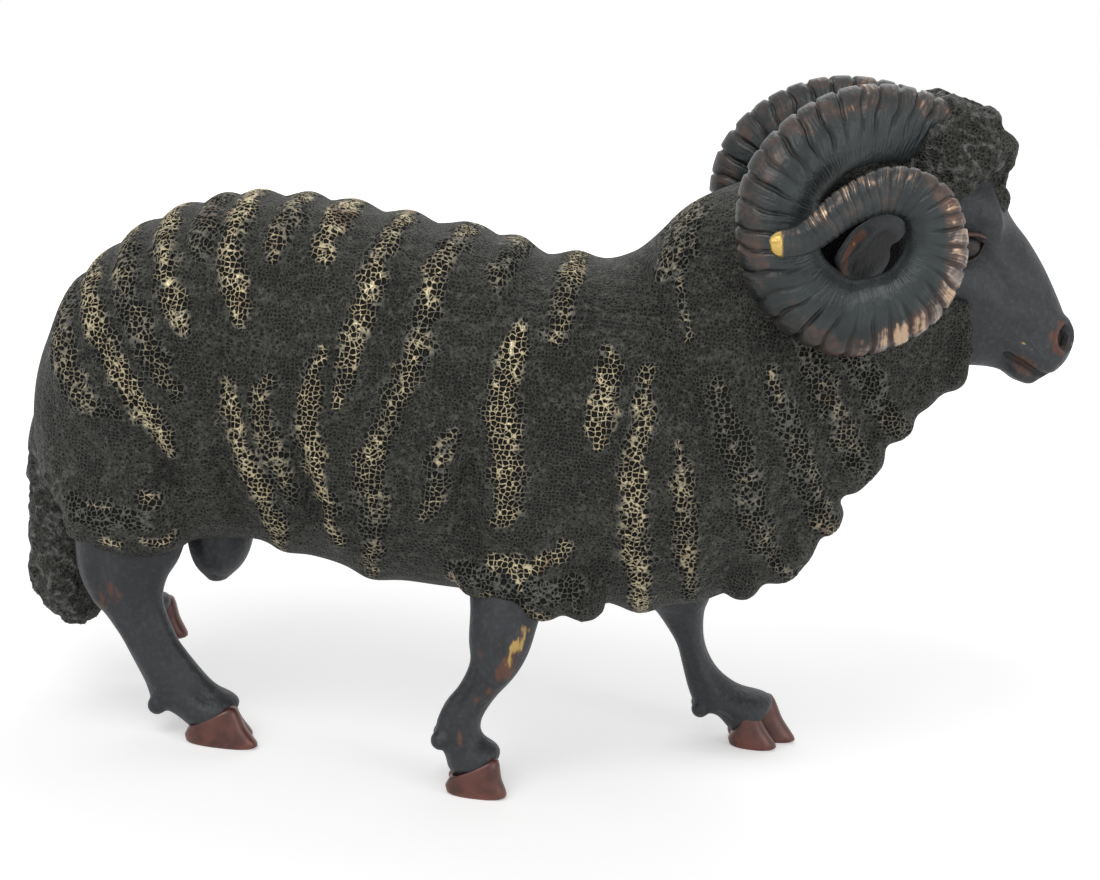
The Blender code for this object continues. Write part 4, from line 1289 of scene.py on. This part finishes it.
class RAM_OT_legs(bpy.types.Operator):
    """Model the four legs and the scrotum"""

    bl_idname = "ram.legs"
    bl_label = "Legs"

    def execute(self, context):
        material = skin_bronze(context.scene.ram_colours)
        for name, (side, out, sections, (x, z), _, strokes) in LEGS.items():
            rows = [(*r[:4], r[4] * SHANK_HALF_WIDTH, side * (out - r[5])) for r in sections]
            leg = wrapped(through(rows, 60), 48)[0]
            stroked(leg, strokes)
            refined(leg, 1)
            claws = [
                egg((x, side * out + y, z), (DEWCLAW_RADIUS,) * 3)
                for y in (-DEWCLAW_REACH, DEWCLAW_REACH)
            ]
            leg = joined([leg, *claws])
            modified(leg, "REMESH", mode="VOXEL", voxel_size=0.5 * MM)
            modified(leg, "SMOOTH", iterations=5)
            skin_marks(leg)
            finished(leg, "leg_" + name, material)
        bag = wrapped(through(on_middle_plane(SCROTUM, SCROTUM_HALF_WIDTH), 30), 40)[0]
        stroked(bag, [([(-75, 50), (-74, 36)], 1.2, -0.6)])
        refined(bag, 1)
        skin_marks(bag)
        finished(bag, "scrotum", material)
        return {"FINISHED"}


class RAM_OT_hooves(bpy.types.Operator):
    """Model the cloven hooves"""

    bl_idname = "ram.hooves"
    bl_label = "Hooves"

    def execute(self, context):
        material = hoof_bronze(context.scene.ram_colours)
        for name, (leg_side, out, _, _, hoof, _) in LEGS.items():
            toe, heel, front_x, front_z, sole, set_back = hoof
            toes = []
            for side in (-1, 1):
                middle = leg_side * out + side * (TOE_HALF_WIDTH + TOE_GAP / 2)
                back = set_back if side != leg_side else 0.0
                tip, crest, heel_top = toe - back, front_x - back, sole + HEEL_HEIGHT
                rows = [
                    (tip - SOLE_EDGE, sole, heel + SOLE_EDGE, sole, 0.84),
                    (tip - 0.4, sole + 0.3, heel + 0.4, sole + 0.3, 0.94),
                    (tip, sole + SOLE_EDGE, heel, sole + SOLE_EDGE, 1.0),
                    ((tip + crest) / 2, (sole + front_z) / 2, heel, (sole + heel_top) / 2, 1.0),
                    (crest, front_z, heel + SOLE_EDGE, heel_top, 0.9),
                    (crest - CORONET_DEPTH, front_z - 1, heel + CORONET_DEPTH, heel_top - 1, 0.5),
                ]
                rows = [(*row[:4], row[4] * TOE_HALF_WIDTH, middle) for row in rows]
                toes.append(wrapped(through(rows, 24), 32, 2.4)[0])
            finished(joined(toes), "hoof_" + name, material, angle=50)
        return {"FINISHED"}


def seen_straight(tree):
    """1 where the camera sees a place, straight on or by a mirror or through glass, or else 0."""
    camera, glossy, through_glass = (
        add(tree, "ShaderNodeLightPath", out=f"Is {name} Ray")
        for name in ("Camera", "Glossy", "Transmission")
    )
    return add(tree, LARGER, (camera, add(tree, LARGER, (glossy, through_glass))))


class RAM_OT_stage(bpy.types.Operator):
    """Set the floor, the soft lamps and the camera"""

    bl_idname = "ram.stage"
    bl_label = "Floor, lamps and camera"

    def execute(self, context):
        scene, colours = context.scene, context.scene.ram_colours
        bpy.ops.object.select_all(action="DESELECT")
        bpy.ops.mesh.primitive_plane_add(size=FLOOR_SIZE)
        floor = bpy.context.object
        floor.name = floor.data.name = "floor"
        material, tree, shader = metal("matt_white_paper", Roughness=0.9)
        shader.inputs["Base Color"].default_value = (*colours.floor, 1)
        # The far floor gets no lamplight, so its own glow grows with distance.
        place = add(tree, "ShaderNodeTexCoord", out="Object")
        far = add(tree, "ShaderNodeVectorMath", (place,), out="Value", operation="LENGTH")
        glow = add(tree, "ShaderNodeEmission", {
            "Color": (1, 1, 1), "Strength": add(tree, SOFT_RANGE, (far, 0.15, 0.9, 0.34, 0.75)),
        })
        plain = shader.outputs[0]
        both = add(tree, "ShaderNodeAddShader", (plain, glow))
        mixed = add(tree, "ShaderNodeMixShader", (seen_straight(tree), plain, both))
        tree.links.new(mixed, tree.nodes["Material Output"].inputs["Surface"])
        floor.data.materials.append(material)

        for name, place, size, power in LAMPS:
            bpy.ops.object.light_add(type="AREA", location=place)
            lamp = bpy.context.object
            lamp.name = lamp.data.name = name
            lamp.data.size = size
            lamp.data.energy = power
            aim = Vector(LAMP_TARGET) - Vector(place)
            lamp.rotation_euler = aim.to_track_quat("-Z", "Y").to_euler()

        world = bpy.data.worlds.new("white_room")
        scene.world = world
        world.use_nodes = True
        tree = world.node_tree
        backdrop = tree.nodes["Background"]
        backdrop.inputs["Color"].default_value = (1, 1, 1, 1)
        strength = add(
            tree, "ShaderNodeMapRange",
            {"Value": seen_straight(tree), "To Min": LIGHT_OF_ROOM, "To Max": 1.0},
        )
        tree.links.new(strength, backdrop.inputs["Strength"])

        turn, rise, roll = (math.radians(angle) for angle in CAMERA_ANGLES)
        back = Vector((
            math.sin(turn) * math.cos(rise), -math.cos(turn) * math.cos(rise), math.sin(rise)
        ))
        bpy.ops.object.camera_add()
        camera = bpy.context.object
        camera.data.lens = CAMERA_LENS
        camera.data.sensor_width = 36
        right = (-back).cross(Vector((0, 0, 1))).normalized()
        up = right.cross(-back)
        axes = (
            right * math.cos(roll) + up * math.sin(roll),
            up * math.cos(roll) - right * math.sin(roll),
            back,
        )
        target = DRAWING * MM + Vector((0, 0, CAMERA_TARGET_HEIGHT))
        pose = Matrix(axes).transposed().to_4x4()
        pose.translation = target + back * CAMERA_DISTANCE
        camera.matrix_world = pose
        scene.camera = camera
        scene.view_settings.view_transform = "Standard"
        return {"FINISHED"}


class RAM_PT_panel(bpy.types.Panel):
    """Lists the figure's sizes, colours and pieces"""

    bl_label = "Bronze ram"
    bl_idname = "RAM_PT_panel"
    bl_space_type = "VIEW_3D"
    bl_region_type = "UI"
    bl_category = "Ram"

    def draw(self, context):
        layout = self.layout
        for group in (context.scene.ram_sizes, context.scene.ram_colours):
            box = layout.box()
            for name in group.__annotations__:
                box.prop(group, name)
        for operator in OPERATORS:
            layout.operator(operator.bl_idname)


OPERATORS = (
    RAM_OT_fleece,
    RAM_OT_face,
    RAM_OT_horns,
    RAM_OT_ears,
    RAM_OT_legs,
    RAM_OT_hooves,
    RAM_OT_stage,
)
CLASSES = (RamSizes, RamColours, *OPERATORS, RAM_PT_panel)


def register():
    for cls in CLASSES:
        bpy.utils.register_class(cls)
    bpy.types.Scene.ram_sizes = bpy.props.PointerProperty(type=RamSizes)
    bpy.types.Scene.ram_colours = bpy.props.PointerProperty(type=RamColours)


def unregister():
    del bpy.types.Scene.ram_colours
    del bpy.types.Scene.ram_sizes
    for cls in reversed(CLASSES):
        bpy.utils.unregister_class(cls)


def main():
    register()
    bpy.ops.ram.fleece()
    bpy.ops.ram.face()
    bpy.ops.ram.horns()
    bpy.ops.ram.ears()
    bpy.ops.ram.legs()
    bpy.ops.ram.hooves()
    bpy.ops.ram.stage()


if __name__ == "__main__":
    main()
